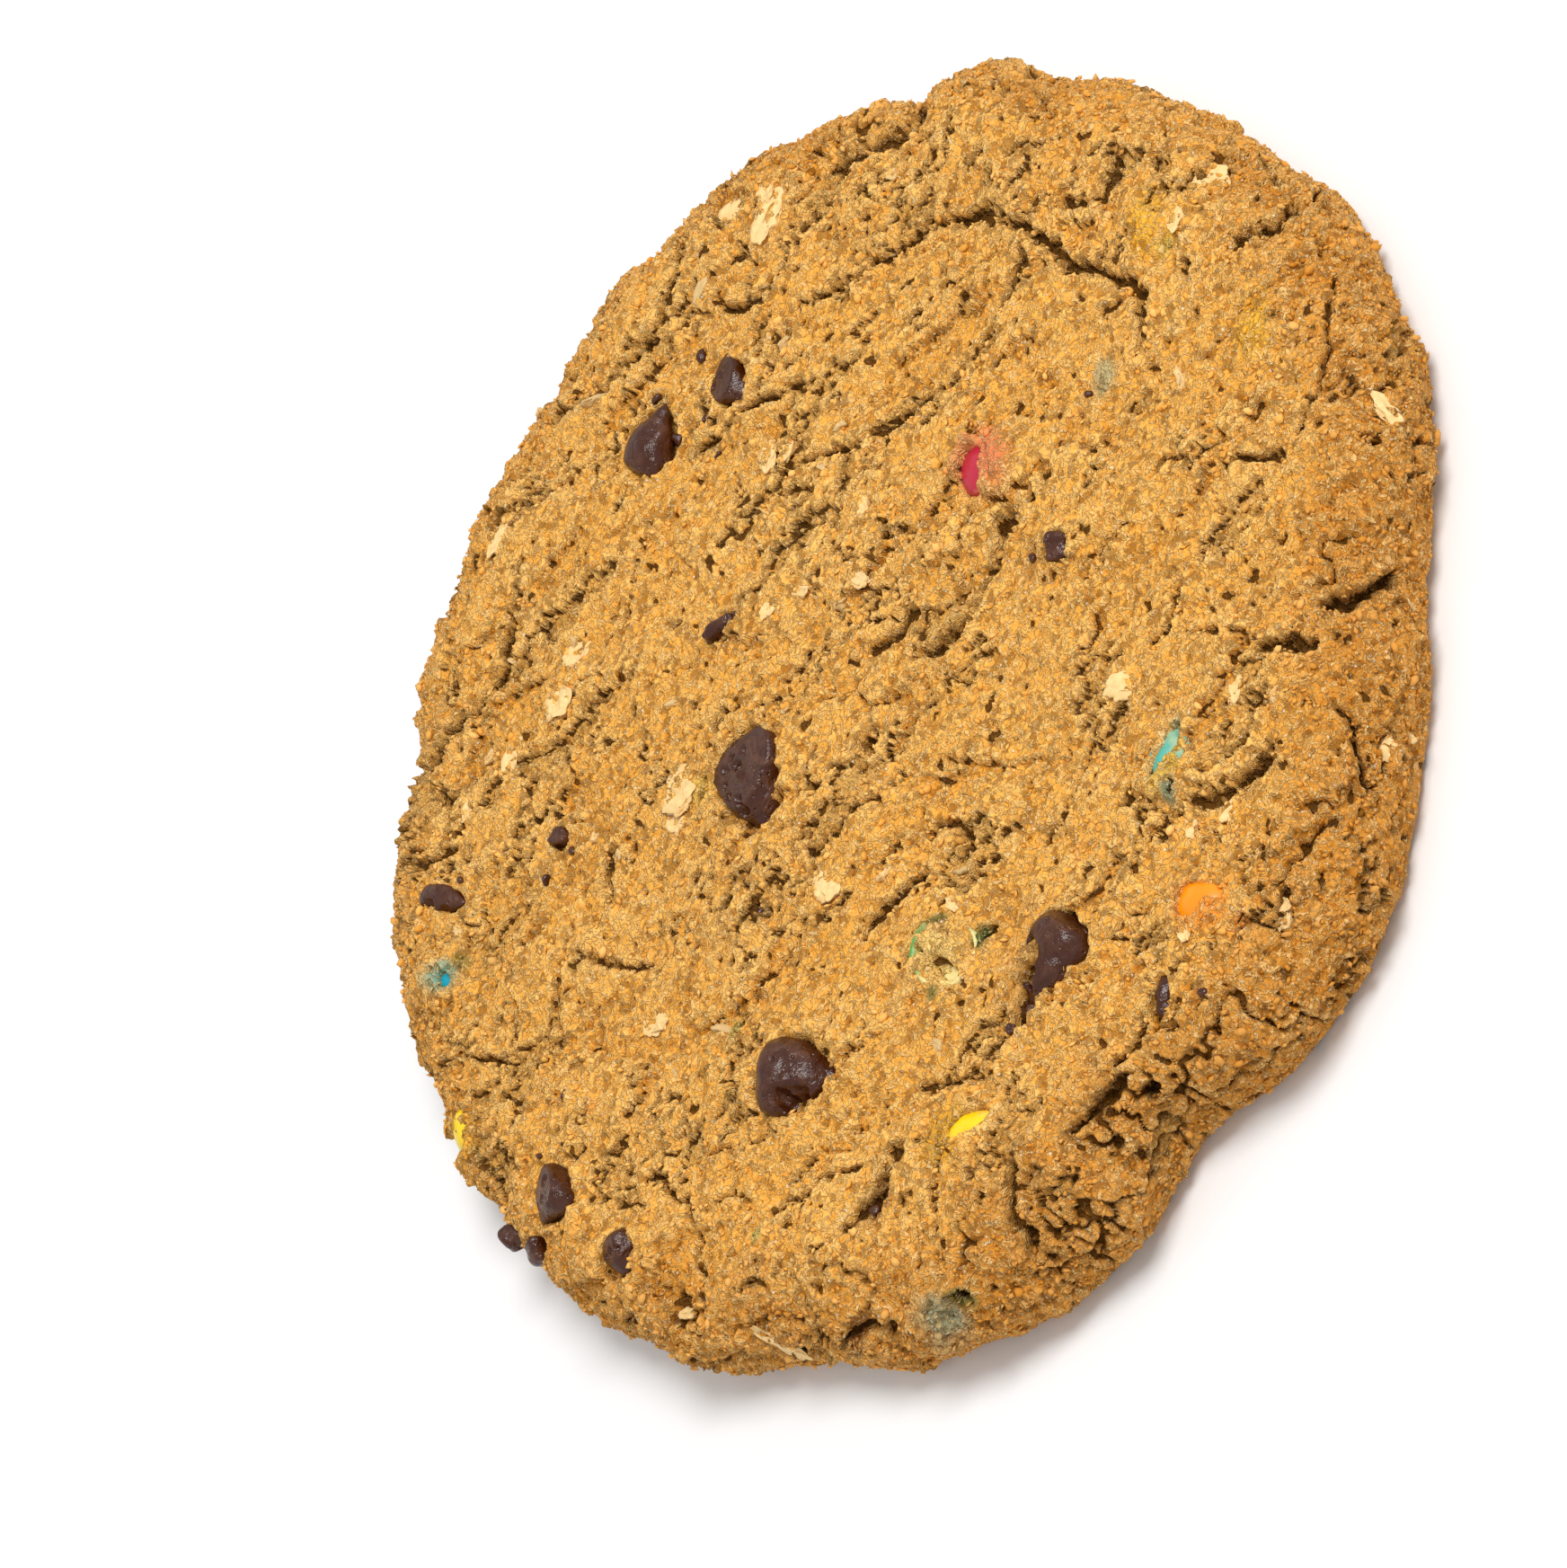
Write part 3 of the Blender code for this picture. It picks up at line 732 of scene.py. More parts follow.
    tinges: tuple[Tinge, ...] = each(
        Tinge,
        ((47.6, -12.3), 3.4, 2.2, 20, Stain.YELLOW, 0.7),
        ((46.3, -15.6), 1.6, 1.2, 0, Stain.GREENISH, 0.6),
        ((42.3, -29.7), 3.6, 2.7, 30, Stain.YELLOW, 0.75),
        ((-30.8, -33.6), 3.4, 3.0, 0, Stain.YELLOW, 0.75),
        ((-50.6, 24.4), 3.0, 3.2, 0, Stain.YELLOW, 0.6),
        ((-4.5, -50.4), 2.6, 3.8, 0, Stain.ORANGE, 0.85),
        ((-4.6, -55.2), 1.3, 1.0, 0, Stain.ORANGE, 0.6),
        ((23.4, -5.4), 3.4, 3.9, 0, Stain.RED, 0.8),
        ((-17.2, -23.6), 2.9, 2.7, 0, Stain.CREAM, 0.5),
        ((-18.0, -21.6), 1.5, 0.6, 120, Stain.GREEN, 0.8),
        ((-16.6, -20.9), 1.5, 0.6, 165, Stain.GREEN, 0.8),
        ((-14.6, -22.4), 1.7, 0.7, 120, Stain.DARK_GREEN, 0.8),
        ((-18.4, -24.6), 1.9, 1.2, 60, Stain.CREAM, 0.8),
        ((-14.4, -26.7), 1.3, 1.1, 0, Stain.DARK_GREEN, 0.95),
        ((-20.6, -24.7), 1.0, 0.8, 0, Stain.DARK_GREEN, 0.75),
        ((-38.1, 35.4), 1.9, 2.2, 30, Stain.TURQUOISE, 0.9),
        ((-36.1, 34.1), 1.0, 1.2, 0, Stain.DARK_GREEN, 0.6),
        ((7.4, -39.4), 1.9, 0.8, -10, Stain.TURQUOISE, 0.6),
        ((4.9, -39.2), 2.0, 0.8, 0, Stain.TURQUOISE, 0.6),
        ((4.8, -40.4), 2.8, 1.2, 0, Stain.GREENISH, 0.5),
        ((3.4, -41.6), 1.4, 0.8, 30, Stain.TURQUOISE, 0.8),
        ((-44.6, -40.9), 2.2, 3.4, 0, Stain.TURQUOISE, 0.5),
        ((-42.4, -42.0), 0.9, 2.2, 0, Stain.DARK_GREEN, 0.8),
        ((34.0, -14.0), 2.0, 1.4, 0, Stain.GREY_BLUE, 0.8),
        ((-31.0, -3.0), 1.0, 0.8, 0, Stain.GREEN, 0.7),
        ((-45.7, -16.2), 1.0, 0.8, 0, Stain.GREEN, 0.7),
        ((-42.5, 9.7), 0.9, 0.8, 0, Stain.ORANGE, 0.6),
        ((-39.0, -28.0), 2.4, 1.6, 0, Stain.RUST, 0.9),
        ((-49.2, -32.2), 1.8, 1.6, 0, Stain.RUST, 0.8),
        ((-20.5, -1.0), 1.2, 0.9, 0, Stain.COCOA, 0.6),
        ((-15.0, -34.6), 6.0, 3.6, 165, Stain.RUST, 0.35),
        ((-9.4, 8.9), 5.6, 6.2, 0, Stain.RUST, 0.2),
        ((-12.8, 12.6), 2.0, 1.8, 0, Stain.GREENISH, 0.4),
        ((17.0, -15.2), 2.6, 1.6, 20, Stain.RUST, 0.5),
        ((31.0, -13.4), 2.2, 1.0, 0, Stain.RUST, 0.3),
        ((-22.6, 28.0), 2.2, 1.2, 30, Stain.COCOA, 0.4),
        ((18.4, 38.6), 1.6, 1.0, 20, Stain.COCOA, 0.5),
        ((16.0, 30.0), 1.0, 2.6, 30, Stain.COCOA, 0.3),
        ((-11.2, -53.8), 1.4, 1.0, 0, Stain.RUST, 0.7),
        ((0.9, 19.0), 3.0, 1.2, -35, Stain.COCOA, 0.35),
    )
    # Dough that has risen over something set into it
    mounds: tuple[Swell, ...] = each(
        Swell,
        ((-14.2, -34.9), 2.4, 1.7, 1.5),
        ((-4.6, -50.2), 4.4, 4.6, 1.0),
        ((-30.2, -34.4), 4.6, 3.9, 0.9),
        ((23.6, -4.8), 3.9, 3.9, 1.25),
        ((-37.8, 35.8), 4.2, 4.0, 0.8),
        ((5.6, -39.8), 4.8, 4.0, 0.8),
        ((-44.6, -41.0), 4.4, 5.4, 0.9),
        ((-17.0, -23.6), 4.2, 4.2, 0.35),
        ((-50.0, 24.0), 3.6, 3.8, 0.3),
    )
    # Openings over what is set into the crust, which Inclusions adds
    seats: list[Seat] = field(default_factory=list)

    def rim_radius(self, turn: Array) -> Array:
        """Radius of the widest outline.

        Args:
            turn: directions in radians.

        Returns:
            One radius in millimetres for each direction.
        """
        radius = np.full_like(turn, self.radius)
        for degrees, spread, rise in self.rim_waves:
            away = np.degrees(np.angle(np.exp(1j * (turn - math.radians(degrees)))))
            radius += rise * np.exp(-((away / spread) ** 2))
        return radius

    def profile(self, share: Array) -> tuple[Array, Array, Array, Array]:
        """The smooth profile from the middle of the top, over the rim, to the edge of the base.

        Args:
            share: 0 in the middle of the top, 1 at the edge of the base, in step with the length walked.

        Returns:
            Reach from the middle, as a share of the rim's radius, level, and the normal's outward and
            upward parts.
        """
        flat_steps, bend_steps = 59, 240
        bend = np.linspace(0, math.pi / 2, bend_steps)
        power, rise = self.shoulder_power, self.top_level - self.widest_level
        out, up = np.sin(bend) ** (2 / power), np.cos(bend) ** (2 / power)
        middle = np.linspace(0, 1, flat_steps + 1)[:-1] * (1 - self.shoulder_run / self.radius)
        shoulder = 1 - (1 - out) * self.shoulder_run / self.radius
        undercut = 1 - (1 - np.cos(bend[1:])) * self.undercut_run / self.radius
        reach = np.concatenate([middle, shoulder, undercut])
        top = np.full(flat_steps, self.top_level)
        wall = self.widest_level * (1 - np.sin(bend[1:]))
        level = np.concatenate([top, self.widest_level + rise * up, wall])
        over, under = out ** (power - 1) / self.shoulder_run, np.cos(bend[1:]) / self.undercut_run
        outward = np.concatenate([np.zeros(flat_steps), over, under])
        over, under = up ** (power - 1) / rise, -np.sin(bend[1:]) / self.widest_level
        upward = np.concatenate([np.ones(flat_steps), over, under])
        steps = np.hypot(np.diff(reach) * self.radius, np.diff(level))
        walked = np.concatenate([[0], np.cumsum(steps)]) / steps.sum()
        long = np.hypot(outward, upward)
        return tuple(np.interp(share, walked, row) for row in (reach, level, outward / long, upward / long))

    def seen_place(self, points: Array) -> Array:
        """Where each point is seen on the level of the top.

        Args:
            points: places on the crust, one a row.

        Returns:
            Places along X and Y, one a row.
        """
        eye = np.array(self.seen_from)
        scale = (eye[2] - self.seen_level) / (eye[2] - points[:, 2])
        return eye[:2] + (points[:, :2] - eye[:2]) * scale[:, None]

    def broad_relief(self, points: Array, lumps: float = 1.0) -> Array:
        """The lumps and swells that the CAD solid has too.

        Args:
            points: places on the smooth form.
            lumps: height of the smaller lumps, as a share of the solid's.

        Returns:
            Height of each point in millimetres.
        """
        xy = self.seen_place(points)
        on_wall = 1 - smooth_step(self.widest_level, self.top_level, points[:, 2])
        height = rough(points, 16.0, 2, 11) * 0.5 + rough(points, 6.0, 2, 21) * (0.55 + 0.3 * on_wall) * lumps
        for swell in self.swells:
            height += swell.rise * np.exp(-(swell.away(xy) ** 2))
        return height

    def ragged(self, points: Array) -> Array:
        """How far the edge of a tear wanders at each point, along X and Y."""
        return np.stack([noise(points, 2.6, 5), noise(points, 2.6, 6)], axis=1) * 0.5

    def tears(self, points: Array, xy: Array) -> tuple[Array, ...]:
        """Fissures, finer cracks and pits.

        Args:
            points: places on the smooth form.
            xy: the same places as they are seen.

        Returns:
            How deep each point lies in a tear, in millimetres, how near it is to the tear's middle, 1 there,
            where its shadow is painted, and how far the bare crumb and painted shade round a tear show.
        """
        ragged = xy + self.ragged(points)
        fine = np.stack([frayed(points, 1.5, 3, 7, 0.8), frayed(points, 1.5, 3, 17, 0.8)], axis=1) * 0.36
        width = 0.75 + 0.45 * noise(points, 3.4, 9)
        depth = np.zeros(len(points))
        middle = np.zeros(len(points))
        haze = np.zeros(len(points))
        for tear in self.fissures + self.hair_cracks:
            away = away_from(bowed(tear.start, tear.end, tear.bow), ragged + fine)
            haze = np.maximum(haze, np.exp(-((away / self.haze_reach) ** 2)) * min(1.0, tear.depth / 2))
            away /= tear.half_width * width
            depth = np.maximum(depth, 0.8 * tear.depth * (1 - smooth_step(0.3, 1.3, away)))
            middle = np.maximum(middle, (1.1 - 0.75 * away) * min(1.0, (tear.depth / 1.8) ** 0.5))
        for pit in self.pits:
            away = pit.away(xy + fine * 0.8)
            depth = np.maximum(depth, pit.depth * (1 - smooth_step(0.6, 1.15, away)))
            middle = np.maximum(middle, 1.3 - 0.85 * away)
        return depth, middle, haze

    def torn_crust(self, points: Array, rim: Array) -> tuple[Array, Array, Array]:
        """Ragged hollows and grooves where the crust has torn as it spread.

        Args:
            points: places on the smooth form.
            rim: 1 on the wall and 0 on the top.

        Returns:
            Height in millimetres, how far each point lies in a hollow, and painted shade at feet and creases.
        """
        drawn_out = self.along_grain(points)
        islands = frayed(drawn_out, self.hollow_size, 5, 61, 0.66) + 0.9
        gaps = np.abs(frayed(drawn_out, self.gap_size, 5, 71, 0.64)) * 2.0 + 0.04
        gaps += 0.45 * smooth_step(0.0, 0.4, noise(points, 12.0, 77) + 0.05)
        edge = np.minimum(islands, gaps) + 0.12 * rim
        hollow = 1 - smooth_step(0.08, 0.14, edge)
        foot = (0.72 + 0.45 * noise(points, 3.0, 79)) * (1.05 - np.abs(edge - 0.08) / 0.13)
        lip = smooth_step(0.1, 0.2, edge) * (1 - smooth_step(0.2, 0.5, edge))
        deep = np.clip(foot, 0, 1) * hollow
        lumpy = rim * smooth_step(-0.35, 0.15, noise(points, 13.0, 213))
        away = np.abs(frayed(points, self.crease_size, 4, 211, 0.62))
        crease = lumpy * (1 - smooth_step(0.02, 0.16, away))
        height = -self.plate_drop * (0.55 * hollow + 0.45 * deep) + 0.12 * lip - self.crease_depth * crease
        return height, hollow, np.maximum(foot, 0.95 * crease)

    def along_grain(self, points: Array) -> Array:
        """Points squeezed along the way that the crust's tears run, so that noise read there is drawn out.

        Args:
            points: places on the smooth form.

        Returns:
            The squeezed points, one a row.
        """
        way = math.radians(self.grain_turn)
        along = points[:, 0] * math.cos(way) + points[:, 1] * math.sin(way)
        across = points[:, 1] * math.cos(way) - points[:, 0] * math.sin(way)
        return np.column_stack([along / self.grain_stretch, across, points[:, 2]])

    def crumb(self, points: Array, hollow: Array, rim: Array) -> tuple[Array, Array]:
        """Matted crumb: torn scales of three sizes over each other, and pinholes.

        Args:
            points: places on the smooth form.
            hollow: how far each point lies in a hollow of the crust.
            rim: 1 on the wall and 0 on the top.

        Returns:
            Height in millimetres, and how near each point is to a pinhole, over 0.5 inside it.
        """
        stir = np.stack([frayed(points, 1.5, 3, 96 + k, 0.75) for k in range(3)], axis=1)
        torn = self.along_grain(points) + stir * 0.4
        calm = 1 - 0.5 * hollow
        plates = scales(torn, self.plate_size, 81, 0.6, 0.15)
        flakes = scales(points + stir * 0.45, self.flake_size, 91, 0.8, 0.2)
        beads = scales(points + stir * 0.3, self.bead_size, 101, 1.0, 0.2)
        height = plates * self.plate_rise * calm
        height += flakes * self.flake_rise * (calm + 0.5 * rim)
        height += beads * self.bead_rise * (1 + 0.6 * rim)
        pin = (noise(points + stir * 0.3, 0.9, 131) + 0.2 * noise(points, 4.0, 132) - 0.76) * 4 + 0.5
        return height - np.clip(pin, 0, 1) * self.pinhole_depth, pin

    def relief(self, points: Array) -> dict[str, Array]:
        """How far the crust stands out from the smooth form, and what each place looks like.

        Args:
            points: places on the smooth form, in millimetres.

        Returns:
            height in millimetres, the level of painted crack shade, over 0.5 in a tear, and the rest from 0
            to 1.
        """
        xy = self.seen_place(points)
        reach = np.hypot(points[:, 0], points[:, 1]) / self.rim_radius(np.arctan2(points[:, 1], points[:, 0]))
        rim = smooth_step(0.84, 0.96, reach + 0.03 * noise(points, 5.0, 141))
        depth, middle, haze = self.tears(points, xy)
        torn, hollow, foot = self.torn_crust(points, rim)
        crumb, pin = self.crumb(points, hollow, rim)
        drop, bare, near, shade = self.openings(points, xy)
        mound = sum(swell.rise * np.exp(-(swell.away(xy) ** 4)) for swell in self.mounds)
        mound = (1 + 0.3 * frayed(points, 1.8, 3, 221)) * mound
        calm = (1 - near) * (1 - np.clip(mound, 0, 1))
        height = self.broad_relief(points, self.lump_share) + mound + crumb + (torn - depth) * calm - drop
        fade = smooth_step(0.0, self.base_fade, points[:, 2])
        patchy = rough(points, 9.0, 3, 161)
        outer = smooth_step(0.7, 1.0, reach)
        toasted = outer * (0.3 + 0.35 * smooth_step(5.0, 55.0, -points[:, 1]))
        brown = np.clip(rim * 0.35 + toasted + 0.3 * smooth_step(0.2, 1.0, patchy), 0, 1)
        # Painted shade: how dark each place is painted, in the middle of tears and pits, at the feet of
        # plates,
        # in creases and pinholes, and round openings
        crack = np.maximum(np.maximum(np.maximum(middle, foot), pin) * calm, shade * 0.8)
        return {
            "crack": np.clip(crack, 0, 1.2),
            "height": height * fade,
            # hollow: bare crumb in hollows and tears, and painted shade in the haze round tears
            "hollow": np.maximum(np.maximum(hollow, 0.8 * smooth_step(0.2, 1.0, depth)), 0.5 * haze) * calm,
            # dark: share of the painted crack shade, from 0 to 1
            "dark": smooth_step(0.25, 0.9, crack),
            "brown": brown,
            # fine: lighter on higher crumb and darker on lower, as painted light and shade
            "fine": np.clip(0.66 + crumb * 0.25, 0, 1),
            "bare": bare,
        }

    def openings(self, points: Array, xy: Array) -> tuple[Array, ...]:
        """Openings over what is set into the crust.

        Args:
            points: places on the smooth form.
            xy: the same places as they are seen.

        Returns:
            Drop in millimetres, where the crust is open, where it is near an opening, and how much shade is
            painted there.
        """
        drop, bare, near, shade, lip = (np.zeros(len(points)) for _ in range(5))
        uneven = 0.16 * noise(points, 1.7, 151) + 0.1 * noise(points, 0.8, 152)
        for seat in self.seats:
            away = seat.away(xy) + uneven
            inside = 1 - smooth_step(0.78, 1.08, away)
            drop = np.maximum(drop, seat.drop * inside)
            bare = np.maximum(bare, inside)
            near = np.maximum(near, 1 - smooth_step(1.0, 1.7, away))
            shade = np.maximum(shade, seat.shade * (1 - smooth_step(0.8, 1.25, away)))
            lip = np.maximum(lip, seat.lip * smooth_step(0.85, 1.1, away) * (1 - smooth_step(1.2, 1.9, away)))
        return drop - lip, bare, near, shade

    def under(self, place: Place) -> tuple[Vector, Vector]:
        """Where the line of sight to a place meets the crust of the CAD solid.

        Args:
            place: a place as it is seen.

        Returns:
            The spot in millimetres, and the normal of the smooth form there.
        """
        eye = np.array(self.seen_from)
        level = np.linspace(self.top_level + self.dome_rise + self.most_relief, self.widest_level, 600)
        scale = (eye[2] - level) / (eye[2] - self.seen_level)
        spots = eye[:2] + (np.array(place) - eye[:2]) * scale[:, None]
        turn = np.arctan2(spots[:, 1], spots[:, 0])
        reach = np.hypot(spots[:, 0], spots[:, 1]) / self.rim_radius(turn)
        out = np.clip(1 - (1 - reach) * self.radius / self.shoulder_run, 0, 1)
        up = (1 - out**self.shoulder_power) ** (1 / self.shoulder_power)
        rise = self.top_level - self.widest_level
        smooth = self.widest_level + rise * up + self.dome_rise * (1 - reach**2)
        surface = smooth + self.solid_relief(np.column_stack([spots, smooth])) * up
        gap = np.where(reach < 1, level - surface, (reach - 1) * self.radius + 0.01)
        k = np.argmax(gap <= 0) if (gap <= 0).any() else np.argmin(gap)
        outward = out[k] ** (self.shoulder_power - 1) / self.shoulder_run
        upward = up[k] ** (self.shoulder_power - 1) / rise
        normal = Vector((outward * math.cos(turn[k]), outward * math.sin(turn[k]), upward))
        return Vector((*spots[k], level[k])), normal.normalized()

    def solid_relief(self, points: Array) -> Array:
        """How far the CAD solid's crust stands out from the smooth form.

        Args:
            points: places on the smooth form.

        Returns:
            Height of each point in millimetres.
        """
        ragged = self.seen_place(points) + self.ragged(points)
        height = self.broad_relief(points)
        for tear in self.fissures:
            away = away_from(bowed(tear.start, tear.end, tear.bow), ragged)
            height -= tear.depth * (1 - smooth_step(tear.half_width * 0.3, tear.half_width * 1.7, away))
        return height * smooth_step(0.0, self.base_fade, points[:, 2])

    def stains(self, points: Array) -> Array:
        """What stains the dough.

        Args:
            points: places on the smooth form.

        Returns:
            Linear red, green, blue and share, one row a point.
        """
        xy = self.seen_place(points)
        wander = 0.22 * noise(points, 1.6, 171) + 0.12 * noise(points, 0.7, 172)
        out = np.zeros((len(points), 4))
        out[:, :3] = 0.5
        for tinge in self.tinges:
            away = tinge.away(xy) + wander
            share = tinge.strength * (1 - smooth_step(0.35, 1.2, away))
            stronger = share > out[:, 3]
            out[stronger, :3] = tinge.stain.value
            out[:, 3] = np.maximum(out[:, 3], share)
        return out


# ---- finishes
def blend(first: Array, second: Colour, share: Array) -> Array:
    """Mixes a colour into the colours of many points by a share for each."""
    share = np.clip(share, 0, 1)[:, None]
    return first * (1 - share) + np.asarray(second) * share


@dataclass(frozen=True)
class BakedColours:
    """Colours of baked dough, and the painted shadow of its tears, as linear red, green and blue."""

    golden: Colour = (0.88, 0.43, 0.078)
    pale: Colour = (1.0, 0.61, 0.20)
    amber: Colour = (0.66, 0.275, 0.028)
    olive: Colour = (0.55, 0.34, 0.105)
    brown: Colour = (0.54, 0.20, 0.020)
    # Painted shadow colour for tears and dips
    tear: Colour = (0.06, 0.02, 0.001)
    # How far a tear and a dip take on the painted shadow colour
    tear_share: float = 0.4

    def tone(self, looks: dict[str, Array], shift: Array) -> Array:
        """The colour of each point, with painted light on raised places and painted shade in dips and tears.

        Args:
            looks: what the crust looks like at each point.
            shift: how much lighter each point is than its place, from -1 to 1.

        Returns:
            Linear red, green and blue, one row a point.
        """
        # Painted light and shade: raised places are lighter and dips darker, as light would fall on the
        # relief
        fine = looks["fine"] + shift + np.clip(looks["proud"] * 1.3, -0.6, 0.5)
        tone = np.tile(self.amber, (len(fine), 1))
        tone = blend(tone, self.golden, smooth_step(-0.1, 0.5, fine))
        tone = blend(tone, self.pale, smooth_step(0.55, 1.1, fine) * 0.7)
        tone = blend(tone, self.brown, smooth_step(0.2, 1.1, looks["brown"] - shift * 0.3) * 0.65)
        # Olive: bare crumb in hollows, and painted shade in the haze round tears
        tone = blend(tone, self.olive, smooth_step(0.2, 0.9, looks["hollow"]) * 0.5)
        share = looks["stain"][:, 3] * (1 - 0.3 * shift)
        tone = tone * (1 - share[:, None]) + looks["stain"][:, :3] * share[:, None]
        # Painted shadow: cracks and dips take the tear colour
        shaded = looks["dark"] - looks["proud"] * 1.1 - shift * 0.25
        return blend(tone, self.tear, smooth_step(0.2, 1.0, shaded) * self.tear_share)


@dataclass(frozen=True)
class CrustFinish:
    """Baked dough under its crumbs: the mesh's tone, speckled and wrinkled, with painted light and shade."""

    shade: Colour = (0.72, 0.65, 0.52)
    light: Colour = (1.10, 1.06, 0.96)
    # Painted shade multiplied into the low cells
    recess_shade: Colour = (0.48, 0.38, 0.26)
    # Pale sugar specks, brightened into painted glints of light
    sugar: Colour = (1.0, 0.88, 0.62)
    # Painted highlight on the raised strands
    cream: Colour = (1.0, 0.66, 0.26)
    # Painted shade multiplied in round the cracks
    edge: Colour = (0.50, 0.36, 0.20)
    # Painted shadow colour inside cracks and pinholes
    tear: Colour = (0.105, 0.038, 0.004)
    gleam: float = 0.06

    def material(self) -> Material:
        """Builds the material.

        Returns:
            The material, which reads tone and the level of painted crack shade from the mesh.
        """
        board = Board("baked_crust")
        stir = board.stirred(0.8, 0.55)
        small = board.levels(0.7, stir)
        flakes = board.levels(1.5, stir) + small * 0.5
        low = small.between(0.34, 0.12)
        ripple = board.cloud(0.3, 2.0, 0.6, 1.2)
        shade = board.mix((ripple - low * 0.2).between(0.3, 0.62), self.shade, self.light)
        tone = board.mix(1.0, board.attribute("tone", colour=True), shade, "MULTIPLY")
        # Painted shade: low cells are darkened as if recessed
        tone = board.mix(low * 0.55, tone, self.recess_shade, "MULTIPLY")
        some = board.cloud(1.3)
        # Sugar specks, painted pale and bright as glints as well as sugar
        sugar_glints = board.cells(0.8).between(0.24, 0.14) * some.between(0.5, 0.6)
        tone = board.mix(sugar_glints * 0.55, tone, self.sugar)
        # Painted highlight: the raised strands are lightened as if catching the light
        strands = abs(board.cloud(0.75, 1.0, 0.5, 0.9) - 0.5).between(0.075, 0.0)
        tone = board.mix(strands * 0.6, tone, self.cream)
        pores = board.cells(1.7, stir).between(0.07, 0.035) * some.between(0.5, 0.4)
        crack = board.attribute("crack") + (ripple - 0.5) * 0.4
        painted_shadow_mask = (crack.between(0.62, 0.82) + pores * 0.7).clamped()
        # Painted shade round the cracks
        tone = board.mix(crack.between(0.35, 0.7) * 0.35, tone, self.edge, "MULTIPLY")
        # Painted shadow: cracks and pinholes are painted near black, as if in deep shade
        tone = board.mix(painted_shadow_mask * 0.85, tone, self.tear)
        height = flakes * 0.7 + ripple * 0.5 + strands * 0.7 + sugar_glints * 0.4 - painted_shadow_mask * 1.2
        dull = some.between(0.3, 0.7) * 0.2 + 0.4
        return board.surface(tone, dull, board.bump(height, 0.32, 0.9), self.gleam)


@dataclass(frozen=True)
class CrumbFinish:
    """Loose and half-loose crumb, each grain in one tone."""

    speckle: Colour = (0.75, 0.62, 0.45)
    gleam: float = 0.06

    def material(self) -> Material:
        """Builds the material.

        Returns:
            The material, which reads tone from the mesh.
        """
        board = Board("crumb")
        grain = board.cloud(0.3, 2.0, 0.6)
        tone = board.attribute("tone", colour=True)
        tone = board.mix((grain - 0.2).clamped() * 0.5, tone, self.speckle, "MULTIPLY")
        return board.surface(tone, 0.6, board.bump(grain, 0.08, 0.6), self.gleam)


@dataclass(frozen=True)
class FloorFinish:
    """A pale matt table."""

    pale: Colour = (0.86, 0.86, 0.86)
    grain_size: float = 40.0

    def material(self) -> Material:
        """Builds the material.

        Returns:
            A plain pale material with a faint grain.
        """
        board = Board("pale_table")
        tone = board.mix(board.cloud(self.grain_size), self.pale, tuple(c * 1.02 for c in self.pale))
        return board.surface(tone, 0.9, None, 0.1)


# ---- the pieces
@dataclass(frozen=True)
class Skin:
    """The dough's skin: its points, its faces, how far out each face lies, and the looks of each point."""

    points: Array
    faces: Array
    far_out: Array
    looks: dict[str, Array]
    # How far out the wall turns in to the tray, where nothing is strewn
    tray_edge: float = 0.955

    def scatter(self, count: int, draw: np.random.Generator, keep: Array) -> tuple[Array, Array, dict]:
        """Spreads places over the skin, by area and by a weight for each point.

        Args:
            count: how many places.
            draw: the random draw.
            keep: weight of each point of the skin, 0 for none.

        Returns:
            Places, normals, and the looks at each place.
        """
        a, b, c, d = (self.points[self.faces[:, k]] for k in range(4))
        across = np.cross(c - a, d - b)
        area = np.linalg.norm(across, axis=1)
        weight = area * keep[self.faces].min(axis=1) * (self.far_out < self.tray_edge)
        chosen = draw.choice(len(weight), count, p=weight / weight.sum())
        u, v = draw.random((2, count, 1))
        near_side = a[chosen] * (1 - u) + b[chosen] * u
        far_side = d[chosen] * (1 - u) + c[chosen] * u
        spots = near_side * (1 - v) + far_side * v
        nearest = self.faces[chosen, 0]
        looks = {name: values[nearest] for name, values in self.looks.items()}
        return spots, across[chosen] / area[chosen, None], looks


